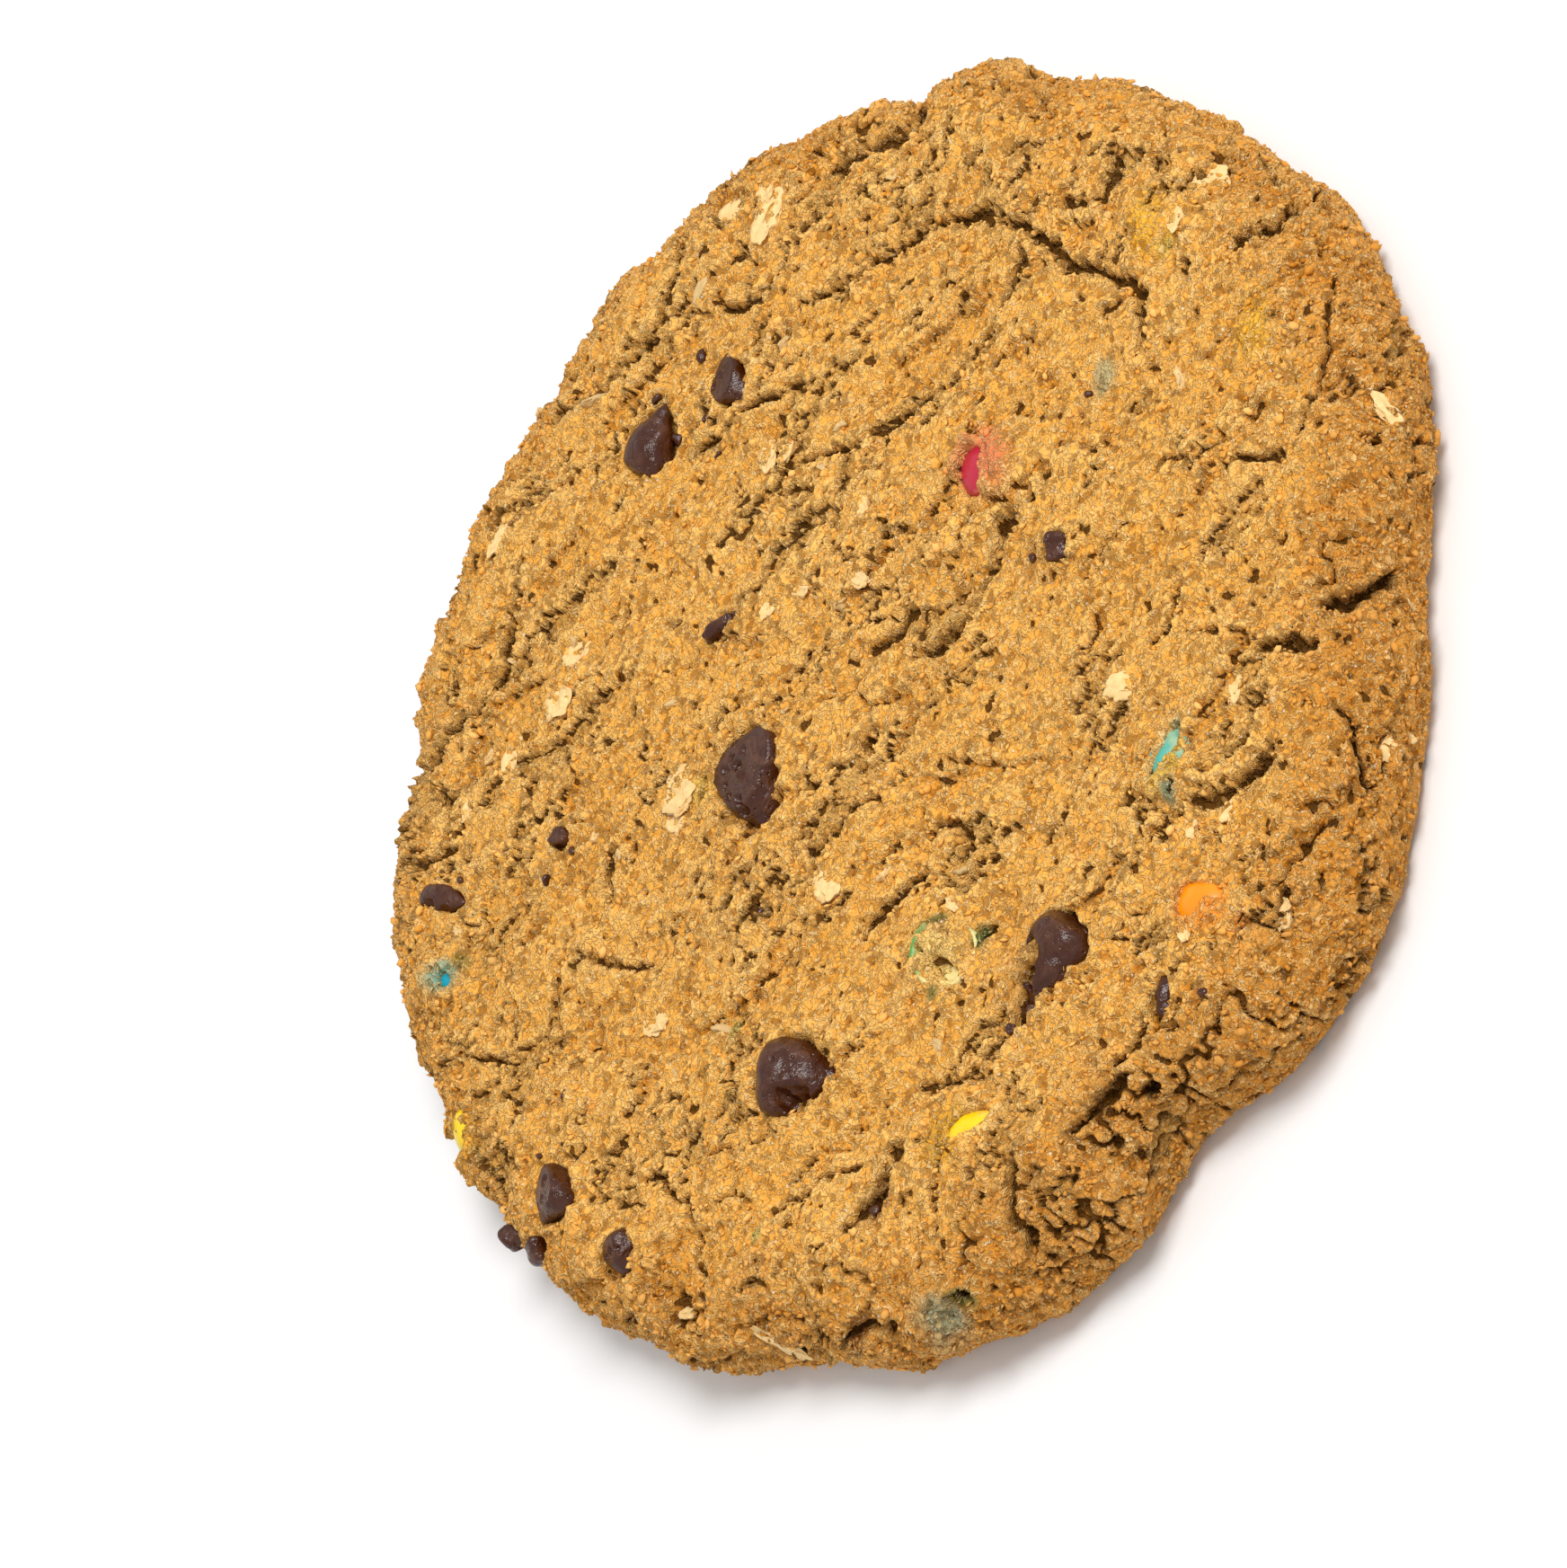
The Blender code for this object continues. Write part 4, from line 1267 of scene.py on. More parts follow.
@dataclass
class DoughPiece:
    """The baked dough: rings of one skin, from the top over the rim to the tray, and the flat base."""

    crust: Crust
    colours: BakedColours = BakedColours()
    finish: CrustFinish = CrustFinish()
    cells: int = 600
    # Where the rings meet, as shares of the way from the middle of the top to the edge of the base
    joins: tuple[float, ...] = (0.0, 0.5, 0.71, 0.87, 1.0)
    names: tuple[str, ...] = ("crust_top", "crust_field", "crust_shoulder", "crust_rim")
    base_cells: int = 140
    # How far the base's gaps reach up, in millimetres
    gap_height: float = 0.5
    # Level against its surroundings, in millimetres, below which the foot of a plate is painted in shade
    foot_level: float = -0.26
    # How much lighter the skin is than its place
    skin_shift: float = -0.04

    def disc(self, cells: int) -> tuple[Array, Array]:
        """A disc of even cells, drawn out from a square of them.

        Args:
            cells: how many cells the square has on a side.

        Returns:
            Share of the way out and direction in radians of each point, row by row.
        """
        line = np.linspace(-1, 1, cells + 1)
        a, b = (grid.ravel() for grid in np.meshgrid(line, line))
        share = np.maximum(np.abs(a), np.abs(b))
        wide = np.abs(a) >= np.abs(b)
        safe_a, safe_b = np.where(a == 0, 1, a), np.where(b == 0, 1, b)
        turn = np.where(wide, math.pi / 4 * b / safe_a, math.pi / 2 - math.pi / 4 * a / safe_b)
        return share, turn + np.where(np.where(wide, a < 0, b < 0), math.pi, 0)

    def squares(self, cells: int) -> Array:
        """Faces of a square of cells.

        Args:
            cells: how many cells the square has on a side.

        Returns:
            The numbers of each face's corners, one face a row.
        """
        row = np.arange(cells)
        corner = (row[:, None] * (cells + 1) + row[None, :]).ravel()
        return np.column_stack([corner, corner + 1, corner + cells + 2, corner + cells + 1])

    def build_base(self, finish: Material) -> None:
        """Builds the flat base, browned by the tray, with shallow gaps where crumb didn't touch it.

        Args:
            finish: the crust's material.
        """
        share, turn = self.disc(self.base_cells)
        reach = self.crust.profile(np.ones(1))[0][0]
        radius = self.crust.rim_radius(turn) * reach * share
        flat = around(radius, turn, np.zeros(len(turn)))
        gaps = smooth_step(0.15, 0.7, frayed(flat, 4.5, 4, 181, 0.7))
        gaps = gaps + 0.3 * smooth_step(0.1, 0.5, frayed(flat, 1.4, 2, 191))
        flat[:, 2] = gaps * self.gap_height * (1 - smooth_step(0.93, 0.99, share))
        none = np.zeros(len(flat))
        looks = {
            "fine": 0.35 + 0.25 * rough(flat, 2.0, 3, 201),
            "brown": 0.85 - gaps * 0.35,
            # dark: painted shade in the gaps
            "dark": 0.25 * gaps,
            "hollow": none,
            "proud": none,
            "stain": np.zeros((len(flat), 4)),
        }
        piece = make_mesh("crust_base", flat, self.squares(self.base_cells)[:, ::-1])
        keep_colour(piece, "tone", self.colours.tone(looks, none))
        # Painted shade: the gaps are painted darker, as if in shadow
        keep_number(piece, "crack", 0.75 * smooth_step(0.5, 1.1, gaps))
        hand_over(piece, "baked_dough", finish, ["dough"])

    def lay_skin(self) -> Skin:
        """Lays the whole skin over the smooth form.

        Returns:
            The skin.
        """
        share, turn = self.disc(self.cells)
        reach, level, outward, upward = self.crust.profile(share)
        radius = self.crust.rim_radius(turn) * reach
        level = level + np.where(upward > 0, self.crust.dome_rise * (1 - np.minimum(reach, 1) ** 2), 0)
        smooth = around(radius, turn, level)
        normal = around(outward, turn, upward)
        looks = self.crust.relief(smooth)
        looks["stain"] = self.crust.stains(smooth)
        height = looks.pop("height")
        looks["proud"] = self.proud(height, 2) + 0.5 * self.proud(height, 5)
        # Painted shade at the foot of each plate, where a raised plate would shade the dip beside it
        foot = np.clip((self.foot_level - 0.5 * looks["brown"] - looks["proud"]) * 3.0, 0, 1)
        looks["crack"] = np.maximum(looks["crack"], foot)
        points = smooth + normal * height[:, None]
        faces = self.squares(self.cells)
        return Skin(points, faces, share[faces].mean(axis=1), looks)

    def proud(self, height: Array, reach: int) -> Array:
        """How far each point stands above the mean of its surroundings.

        Args:
            height: height of each point in millimetres.
            reach: how many cells the surroundings go out on each side.

        Returns:
            Millimetres, below 0 in a dip.
        """
        side = self.cells + 1
        mean = height.reshape(side, side)
        for axis in (0, 1):
            wide = [(reach + 1, reach) if k == axis else (0, 0) for k in (0, 1)]
            sums = np.cumsum(np.pad(mean, wide, mode="edge"), axis=axis)
            span = 2 * reach + 1
            upper, lower = (np.take(sums, np.arange(side) + shift, axis=axis) for shift in (span, 0))
            mean = (upper - lower) / span
        return height - mean.ravel()

    def build(self) -> Skin:
        """Builds and dresses the rings and the base.

        Returns:
            The skin, for what is strewn on it.
        """
        skin = self.lay_skin()
        tone = self.colours.tone(skin.looks, np.full(len(skin.points), self.skin_shift))
        finish = self.finish.material()
        for name, inner, outer in zip(self.names, self.joins[:-1], self.joins[1:]):
            kept = skin.faces[(skin.far_out > inner) & (skin.far_out <= outer)]
            used, corners = np.unique(kept, return_inverse=True)
            piece = make_mesh(name, skin.points[used], corners.reshape(kept.shape))
            keep_colour(piece, "tone", tone[used])
            keep_number(piece, "crack", skin.looks["crack"][used])
            hand_over(piece, "baked_dough", finish, ["dough"])
        self.build_base(finish)
        return skin


# ---- what is set into the crust
def ball(steps: int) -> tuple[Array, Array]:
    """A round ball of radius 1.

    Args:
        steps: how many times its faces are cut finer.

    Returns:
        Its points and its triangles, one a row.
    """
    bm = bmesh.new()
    bmesh.ops.create_icosphere(bm, subdivisions=steps, radius=1)
    points = np.array([v.co for v in bm.verts])
    faces = np.array([[v.index for v in f.verts] for f in bm.faces])
    bm.free()
    return points, faces


def turned(degrees: float, axis: str) -> Array:
    """A turn about one axis, to be put before points in columns."""
    return np.array(Matrix.Rotation(math.radians(degrees), 3, axis))


def swollen(points: Array, size: float, rise: float, seed: int) -> Array:
    """Points moved away from their middle by noise.

    Args:
        points: places in millimetres, one a row.
        size: size of the noise's lumps.
        rise: how far they rise.
        seed: which noise.

    Returns:
        The moved points.
    """
    away = points - points.mean(axis=0)
    away /= np.linalg.norm(away, axis=1, keepdims=True)
    return points + away * noise(points + seed * 17.3, size, seed)[:, None] * rise


@dataclass(frozen=True)
class Dent:
    """A dent in a piece, beside the place it is set at: offset, half size, depth."""

    offset: Place
    size: float
    depth: float


@dataclass(frozen=True)
class Cut:
    """A flat face of a chip: level over the chip's middle, the way it falls and how steeply, in degrees."""

    level: float
    fall_turn: float
    fall: float


@dataclass(frozen=True)
class Inlay:
    """A piece set into the crust: name of its CAD node, place, and depth of its middle."""

    name: str
    place: Place
    depth: float


@dataclass(frozen=True)
class Chip(Inlay):
    """A chocolate drop lying on its side: width, length, its tip's direction and dip, and what changed it."""

    width: float
    length: float
    tip_turn: float
    dip: float
    cuts: tuple[Cut, ...] = ()
    dents: tuple[Dent, ...] = ()
    lip: float = 0.3
    openings: tuple[Seat, ...] = ()


class ShellColour(Enum):
    """Colour of a lentil's sugar shell, by its slot: the bare shell and dough that it has stained."""

    RED = ("shell_red", (0.50, 0.014, 0.045), (0.78, 0.25, 0.12))
    YELLOW = ("shell_yellow", (0.93, 0.66, 0.006), (0.82, 0.45, 0.04))
    ORANGE = ("shell_orange", (1.0, 0.31, 0.0), (0.92, 0.38, 0.05))
    GREEN = ("shell_green", (0.10, 0.36, 0.07), (0.42, 0.42, 0.12))
    BLUE = ("shell_blue", (0.0, 0.40, 0.56), (0.20, 0.42, 0.36))
    TEAL = ("shell_teal", (0.09, 0.45, 0.38), (0.42, 0.58, 0.34))

    def __init__(self, slot: str, bare: Colour, stained: Colour) -> None:
        """Names the parts of the choice."""
        self.slot, self.bare, self.stained = slot, bare, stained


@dataclass(frozen=True)
class Lentil(Inlay):
    """A sugar-shelled lentil: colour, width, thickness, turn and tilt, and what shows of it."""

    colour: ShellColour
    width: float
    thickness: float
    turn: float
    tilt: float
    windows: tuple[Seat, ...]
    coated: float = 0.35
    cut: bool = False


@dataclass(frozen=True)
class Bit(Inlay):
    """A broken bit of chocolate: length, width, height and direction."""

    length: float
    width: float
    height: float
    turn: float


CHIPS = (
    Chip(
        "chip_centre", (-10.0, 7.3), 0.9, 8.8, 10.2, 225, 12, (Cut(1.8, 106, 10),),
        (
            Dent((-0.3, 2.9), 0.45, 1.1), Dent((0.5, 1.4), 0.5, 0.9), Dent((-2.9, -1.3), 0.5, 0.9),
            Dent((-2.2, -0.6), 0.4, 0.8), Dent((-0.2, 0.3), 0.5, -0.4), Dent((-1.6, 2.0), 0.35, 0.7),
            Dent((-2.4, 0.9), 0.35, 0.7), Dent((0.9, 2.6), 0.35, 0.6), Dent((2.0, 1.2), 0.4, 0.6),
        ),
        0.4,
    ),
    Chip(
        "chip_near", (-32.2, -12.6), 0.8, 7.4, 9.4, 292, 20, (),
        (
            Dent((-2.0, -0.9), 0.9, 2.0), Dent((-1.2, -2.1), 1.1, 2.0), Dent((-2.5, -2.8), 1.0, 1.6),
            Dent((0.6, 1.2), 0.5, 0.25), Dent((1.6, -0.6), 0.4, 0.2),
        ),
        0.3,
    ),
    Chip(
        "chip_tucked", (-14.2, -35.8), 0.9, 7.0, 10.2, 170, 6, (),
        (
            Dent((-3.4, 0.6), 1.2, 0.8), Dent((0.2, 1.4), 1.5, 2.2), Dent((-1.3, 0.9), 1.2, 1.8),
            Dent((2.4, -1.0), 0.6, 0.3), Dent((0.8, -2.0), 0.5, 0.3),
        ),
        0.4,
        (
            Seat((-11.9, -37.0), 2.2, 2.9, 0, 0.9, 0.75, 0.4),
            Seat((-17.2, -35.6), 3.2, 1.15, 172, 1.4, 0.9, 0.3),
        ),
    ),
    Chip("chip_far", (14.4, 37.8), 0.5, 5.6, 7.0, 0, -8, (), (Dent((2.9, 1.2), 0.7, 0.7),), 0.2),
    Chip(
        "chip_far_small", (22.2, 30.7), 0.4, 4.6, 5.8, 262, 20, (Cut(1.0, 100, 14),),
        (Dent((0.3, 0.9), 0.5, 0.3), Dent((-0.9, 1.3), 0.35, 0.25)), 0.2,
    ),
    Chip(
        "chip_left", (-51.2, 10.3), 0.6, 5.6, 5.6, 159, 10, (Cut(1.5, 106, 22),),
        (Dent((1.2, 0.6), 0.6, 0.5), Dent((-0.6, 0.2), 0.4, 0.35), Dent((-1.4, 1.0), 0.35, 0.3)), 0.3,
    ),
    Chip(
        "chip_left_small", (-53.1, -0.8), 0.6, 4.1, 5.1, 235, 18, (Cut(1.3, 130, 20),),
        (Dent((0.2, 0.5), 0.3, 0.45), Dent((0.7, -0.4), 0.3, 0.4), Dent((-0.6, 1.0), 0.3, 0.35)), 0.2,
    ),
    Chip(
        "chip_far_left", (-31.8, 40.4), 0.5, 3.3, 6.2, 282, -4, (),
        (Dent((-1.2, 0.4), 0.9, 0.8), Dent((-0.9, -1.6), 0.8, 0.7)),
        0.1, (Seat((-31.6, 40.0), 2.9, 1.2, 282, 0.9, 0.75, 0.1),),
    ),
)
BITS = each(
    Bit,
    ("bit_corner", (18.6, -17.6), 0.4, 2.7, 2.5, 2.6, 20),
    ("bit_rim_low", (-56.2, 9.3), 0.4, 2.6, 2.2, 2.4, 30),
    ("bit_rim_high", (-56.4, 13.0), 0.5, 2.4, 2.1, 2.3, 80),
    ("bit_pair", (-22.0, 28.1), 0.4, 2.6, 1.9, 2.2, 110),
    ("bit_sliver", (1.3, 19.1), 0.5, 3.8, 1.3, 2.2, -35),
    ("bit_in_gap", (-12.9, -49.6), 1.3, 4.0, 2.0, 2.6, 20),
)
LENTILS = (
    Lentil(
        "lentil_red", (23.4, -4.5), 1.5, ShellColour.RED, 6.4, 4.4, 20, 8,
        (Seat((22.3, -4.5), 2.4, 1.8, 30, 1.9, 0.0),), 0.05,
    ),
    Lentil(
        "lentil_yellow_rim", (-50.8, 24.2), 1.65, ShellColour.YELLOW, 6.4, 4.2, 155, 25,
        (Seat((-52.5, 24.9), 2.3, 2.1, 0, 1.5, 0.0),), -0.2,
    ),
    Lentil(
        "lentil_yellow", (-29.9, -34.8), 2.0, ShellColour.YELLOW, 6.4, 4.2, -35, 14,
        (Seat((-29.2, -35.7), 2.3, 0.95, -42, 1.6, 0.0),), 0.1,
    ),
    Lentil(
        "lentil_orange", (-4.6, -49.8), 1.4, ShellColour.ORANGE, 6.4, 4.4, 275, 10,
        (Seat((-4.5, -49.1), 1.6, 1.5, 0, 1.1, 0.0), Seat((-4.5, -54.9), 0.7, 0.4, 0, 1.0, 0.0)), -0.3,
    ),
    Lentil(
        "lentil_green", (-17.0, -23.6), 0.7, ShellColour.GREEN, 7.0, 3.4, 285, 14,
        (
            Seat((-18.2, -21.2), 1.4, 0.42, 115, 0.9, 0.0), Seat((-16.6, -20.7), 1.4, 0.42, 170, 0.9, 0.0),
            Seat((-18.3, -24.4), 1.6, 0.85, 70, 1.2, 0.0),
        ),
        0.0, True,
    ),
    Lentil(
        "lentil_blue", (-37.9, 35.9), 1.7, ShellColour.BLUE, 6.0, 4.0, 120, 12,
        (Seat((-38.3, 35.0), 0.65, 0.65, 20, 1.4, 0.0),), -0.2,
    ),
    Lentil(
        "lentil_teal", (5.6, -39.4), 1.4, ShellColour.TEAL, 6.6, 4.2, 100, 10,
        (
            Seat((7.4, -39.4), 1.3, 0.5, -12, 1.3, 0.1), Seat((4.9, -39.1), 1.5, 0.6, 0, 1.3, 0.1),
            Seat((3.4, -41.6), 0.9, 0.45, 30, 1.3, 0.2),
        ),
        0.3,
    ),
    Lentil(
        "lentil_blue_near", (-44.2, -39.6), 2.3, ShellColour.BLUE, 6.2, 4.2, -10, 12,
        (Seat((-42.4, -42.0), 0.35, 1.4, 0, 1.6, 0.4),), 0.3,
    ),
)


@dataclass(frozen=True)
class ChocolateFinish:
    """Baked chocolate: dark, half matt, with a faint bloom, small pits and melted creases."""

    dark: Colour = (0.048, 0.009, 0.001)
    bloom: Colour = (0.13, 0.045, 0.018)
    dust: Colour = (0.55, 0.42, 0.30)
    gleam: float = 0.45

    def material(self) -> Material:
        """Builds the material.

        Returns:
            The material, the same for every piece of chocolate.
        """
        board = Board("baked_chocolate")
        film = board.cloud(1.9, 4.0, 0.62, 0.7)
        fine = board.cloud(0.28, 3.0, 0.6)
        pits = board.cells(0.8).between(0.26, 0.1)
        tone = board.mix(film.between(0.42, 0.72) * 0.6, self.dark, self.bloom)
        tone = board.mix(pits * 0.6, tone, self.dark)
        specks = board.cells(0.55).between(0.1, 0.06) * board.cloud(1.4).between(0.5, 0.6)
        tone = board.mix(specks * 0.8, tone, self.dust)
        dull = film.between(0.3, 0.7) * 0.18 + fine * 0.1 + 0.06
        normal = board.bump(film * 1.8 + fine * 0.3 - pits * 0.5, 0.24, 0.8)
        return board.surface(tone, dull, normal, self.gleam)


@dataclass(frozen=True)
class ShellFinish:
    """Sugar shell: glossy where it is bare, dull where dough has baked on to it."""

    name: str
    speckle: Colour = (0.72, 0.66, 0.6)
    gleam: float = 0.5

    def material(self) -> Material:
        """Builds the material.

        Returns:
            The material, which reads tone and coat from the mesh.
        """
        board = Board(self.name)
        fine = board.cloud(0.35, 3.0, 0.6)
        tone = board.mix(fine * 0.35, board.attribute("tone", colour=True), self.speckle, "MULTIPLY")
        coat = board.attribute("coat")
        normal = board.bump(fine * (coat * 1.2 + 0.15), 0.16, 0.8)
        return board.surface(tone, coat * 0.4 + 0.3, normal, self.gleam)


@dataclass
class Inclusions:
    """Chips, bits of chocolate and lentils, each where its CAD solid is."""

    crust: Crust
    # A chip's half width along its length, as shares, and how far it has slumped in the oven
    chip_profile: tuple[Place, ...] = (
        (0.0, 0.0),
        (0.02, 0.62),
        (0.08, 0.9),
        (0.22, 1.0),
        (0.42, 0.93),
        (0.62, 0.7),
        (0.8, 0.4),
        (0.93, 0.2),
        (1.0, 0.0),
    )
    # How many steps the outline is read in, and over how many on each side it is softened
    profile_steps: int = 120
    softened: int = 7
    # Where a chip's middle is along its length, and how flat it has slumped
    chip_middle: float = 0.42
    chip_slump: float = 0.78
    # How far ahead of its middle a chip's opening lies, as a share of its length, and how deep it drops
    seat_ahead: float = 0.05
    seat_drop: float = 0.9
    bit_squareness: float = 0.6
    bit_lean: float = 12.0
    # Where the rim of the cut lentil has kept its colour, in degrees from +X
    rim_left: float = 62.0

    def chip_seat(self, chip: Chip) -> Seat:
        """The opening over a chip that is open all over.

        Args:
            chip: the chip.

        Returns:
            The opening, a little towards the chip's tip.
        """
        way, ahead = math.radians(chip.tip_turn), self.seat_ahead * chip.length
        middle = (chip.place[0] + ahead * math.cos(way), chip.place[1] + ahead * math.sin(way))
        half = chip.length * math.cos(math.radians(chip.dip)) * 0.5
        return Seat(middle, half, chip.width * 0.48, chip.tip_turn, self.seat_drop, 0.75, chip.lip)

    def open_seats(self) -> None:
        """Opens the crust over every piece."""
        for chip in CHIPS:
            self.crust.seats.extend(chip.openings or [self.chip_seat(chip)])
        for bit in BITS:
            seat = Seat(bit.place, bit.length * 0.52, bit.width * 0.55, bit.turn, 0.7, 0.7, 0.15)
            self.crust.seats.append(seat)
        for lentil in LENTILS:
            self.crust.seats.extend(lentil.windows)

    def set_in(self, points: Array, place: Place, depth: float) -> Array:
        """Leans points made on level ground with the crust, their middle this deep under a place."""
        spot, normal = self.crust.under(place)
        return leaned(points, normal) + np.array(spot - normal * depth)

    def drop(self, chip: Chip, round_ball: Array) -> Array:
        """A chocolate drop as it was moulded, lying with its tip towards +Z.

        Args:
            chip: the chip.
            round_ball: points of a round ball.

        Returns:
            A place for each point of the ball.
        """
        share, swell = np.array(self.chip_profile).T
        outline = np.column_stack([share * chip.length, swell * chip.width / 2])
        walked = np.concatenate([[0], np.cumsum(np.linalg.norm(np.diff(outline, axis=0), axis=1))])
        dense = np.linspace(0, walked[-1], self.profile_steps + 1)
        soft = np.hanning(2 * self.softened + 1)
        soft /= soft.sum()
        rows = (np.interp(dense, walked, row) for row in outline.T)
        rows = (np.pad(row, self.softened, mode="reflect", reflect_type="odd") for row in rows)
        along, out = (np.convolve(row, soft, "valid") for row in rows)
        polar = np.arccos(np.clip(-round_ball[:, 2], -1, 1)) / math.pi * walked[-1]
        flat = np.maximum(np.linalg.norm(round_ball[:, :2], axis=1), 1e-9)
        radius = np.maximum(np.interp(polar, dense, out), 0)
        level = np.interp(polar, dense, along) - chip.length * self.chip_middle
        return np.column_stack([*(round_ball[:, :2] / flat[:, None] * radius[:, None]).T, level])

    def chip_points(self, chip: Chip, round_ball: Array) -> Array:
        """One drop on level ground, slumped in the oven, with its cuts and dents.

        Args:
            chip: the chip.
            round_ball: points of a round ball.

        Returns:
            Its points.
        """
        points = self.drop(chip, round_ball) @ (turned(chip.tip_turn, "Z") @ turned(90 + chip.dip, "Y")).T
        points[:, 2] *= self.chip_slump
        points = swollen(points, 2.6, 0.28, len(chip.name))
        points = swollen(points, 1.1, 0.1, len(chip.name) + 3)
        for cut in chip.cuts:
            way, fall = math.radians(cut.fall_turn), math.tan(math.radians(cut.fall))
            face = cut.level - fall * (points[:, 0] * math.cos(way) + points[:, 1] * math.sin(way))
            points[:, 2] = np.minimum(points[:, 2], face + 0.1 * np.maximum(points[:, 2] - face, 0))
        for dent in chip.dents:
            away = np.hypot(points[:, 0] - dent.offset[0], points[:, 1] - dent.offset[1]) / dent.size
            away += 0.3 * frayed(points, 1.3, 2, 5)
            sunk = dent.depth * (1 - smooth_step(0.45, 1.15, away))
            points[:, 2] -= sunk * smooth_step(-0.5, 0.5, points[:, 2])
        return points

    def build(self) -> None:
        """Builds and dresses every piece."""
        chocolate = ChocolateFinish().material()
        round_ball, faces = ball(5)
        for chip in CHIPS:
            points = self.set_in(self.chip_points(chip, round_ball), chip.place, chip.depth)
            hand_over(make_mesh(f"{chip.name}_drop", points, faces), "chocolate", chocolate, [chip.name])
        self.build_bits(chocolate)
        self.build_lentils()

    def build_bits(self, chocolate: Material) -> None:
        """Builds the broken bits: blocks with worn corners and rough faces.

        Args:
            chocolate: the material of chocolate.
        """
        round_ball, faces = ball(4)
        for k, bit in enumerate(BITS):
            block = np.sign(round_ball) * np.abs(round_ball) ** self.bit_squareness
            block *= 0.5 * np.array([bit.length, bit.width, bit.height]) / np.abs(block).max(axis=0)
            block = swollen(swollen(block, 1.3, 0.32, 31 + k), 0.5, 0.1, 41 + k)
            block = block @ (turned(bit.turn, "Z") @ turned(self.bit_lean, "X")).T
            piece = make_mesh(f"{bit.name}_broken", self.set_in(block, bit.place, bit.depth), faces)
            hand_over(piece, "chocolate", chocolate, [bit.name])

    def shell(self, lentil: Lentil, seed: int, round_ball: Array) -> tuple[Array, ...]:
        """One sugar shell on level ground, pressed flat and patchy with baked-on dough, or broken open.

        Args:
            lentil: the lentil.
            seed: which noise.
            round_ball: points of a round ball.

        Returns:
            Its points, their colours, and how far each is coated or broken open.
        """
        points = round_ball * np.array([lentil.width, lentil.width, lentil.thickness]) / 2
        points = swollen(points, 2.4, 0.12, 51 + seed)
        out = np.linalg.norm(points[:, :2], axis=1) / (lentil.width / 2)
        inner = (1 - smooth_step(0.76, 0.84, out)) * lentil.cut * (points[:, 2] > 0)
        points[:, 2] -= inner * (0.7 + 1.6 * (1 - out**2))
        facing = np.cos(np.arctan2(points[:, 1], points[:, 0]) - math.radians(self.rim_left - lentil.turn))
        inner = np.maximum(inner, lentil.cut * (1 - smooth_step(-0.25, 0.15, facing)))
        place = points + np.array([*lentil.place, 0])
        patchy = noise(place, 1.7, 61 + seed) * 0.6 + noise(place, 0.6, 71) * 0.25
        coat = smooth_step(0.25, 0.42, patchy + lentil.coated)
        shade = 1 + 0.14 * noise(place, 1.1, 81)
        tone = np.tile(lentil.colour.bare, (len(points), 1)) * shade[:, None]
        tone = blend(tone, lentil.colour.stained, coat * 0.8)
        tone = blend(tone, Stain.CREAM.value, inner)
        points = points + round_ball * (coat * 0.08 * (1 + noise(place, 0.5, 91)))[:, None]
        points = points @ (turned(lentil.turn, "Z") @ turned(lentil.tilt, "Y")).T
        return points, tone, np.maximum(coat, inner)

    def build_lentils(self) -> None:
        """Builds the lentils, with one finish for each colour of shell."""
        round_ball, faces = ball(4)
        finishes = {colour: ShellFinish(colour.slot).material() for colour in ShellColour}
        for k, lentil in enumerate(LENTILS):
            points, tone, coat = self.shell(lentil, k, round_ball)
            piece = make_mesh(f"{lentil.name}_shell", self.set_in(points, lentil.place, lentil.depth), faces)
            keep_colour(piece, "tone", tone)
            keep_number(piece, "coat", coat)
            hand_over(piece, lentil.colour.slot, finishes[lentil.colour], [lentil.name])


@dataclass(frozen=True)
class OatFinish:
    """Rolled oat: cream, toasted at its edge, streaked along its length."""

    streak: Colour = (0.78, 0.62, 0.42)
    gleam: float = 0.35

    def material(self) -> Material:
        """Builds the material.

        Returns:
            The material, which reads tone from the mesh.
        """
        board = Board("rolled_oat")
        streaks = board.cloud(0.5, 3.0, 0.6, 0.3)
        tone = board.attribute("tone", colour=True)
        tone = board.mix(streaks.between(0.35, 0.7) * 0.4, tone, self.streak, "MULTIPLY")
        return board.surface(tone, 0.62, board.bump(streaks, 0.14, 0.7), self.gleam)


@dataclass(frozen=True)
class Flake:
    """A rolled oat: place, length, width, direction, and how far it stands up."""

    place: Place
    length: float
    width: float
    turn: float
    lift: float = 8.0


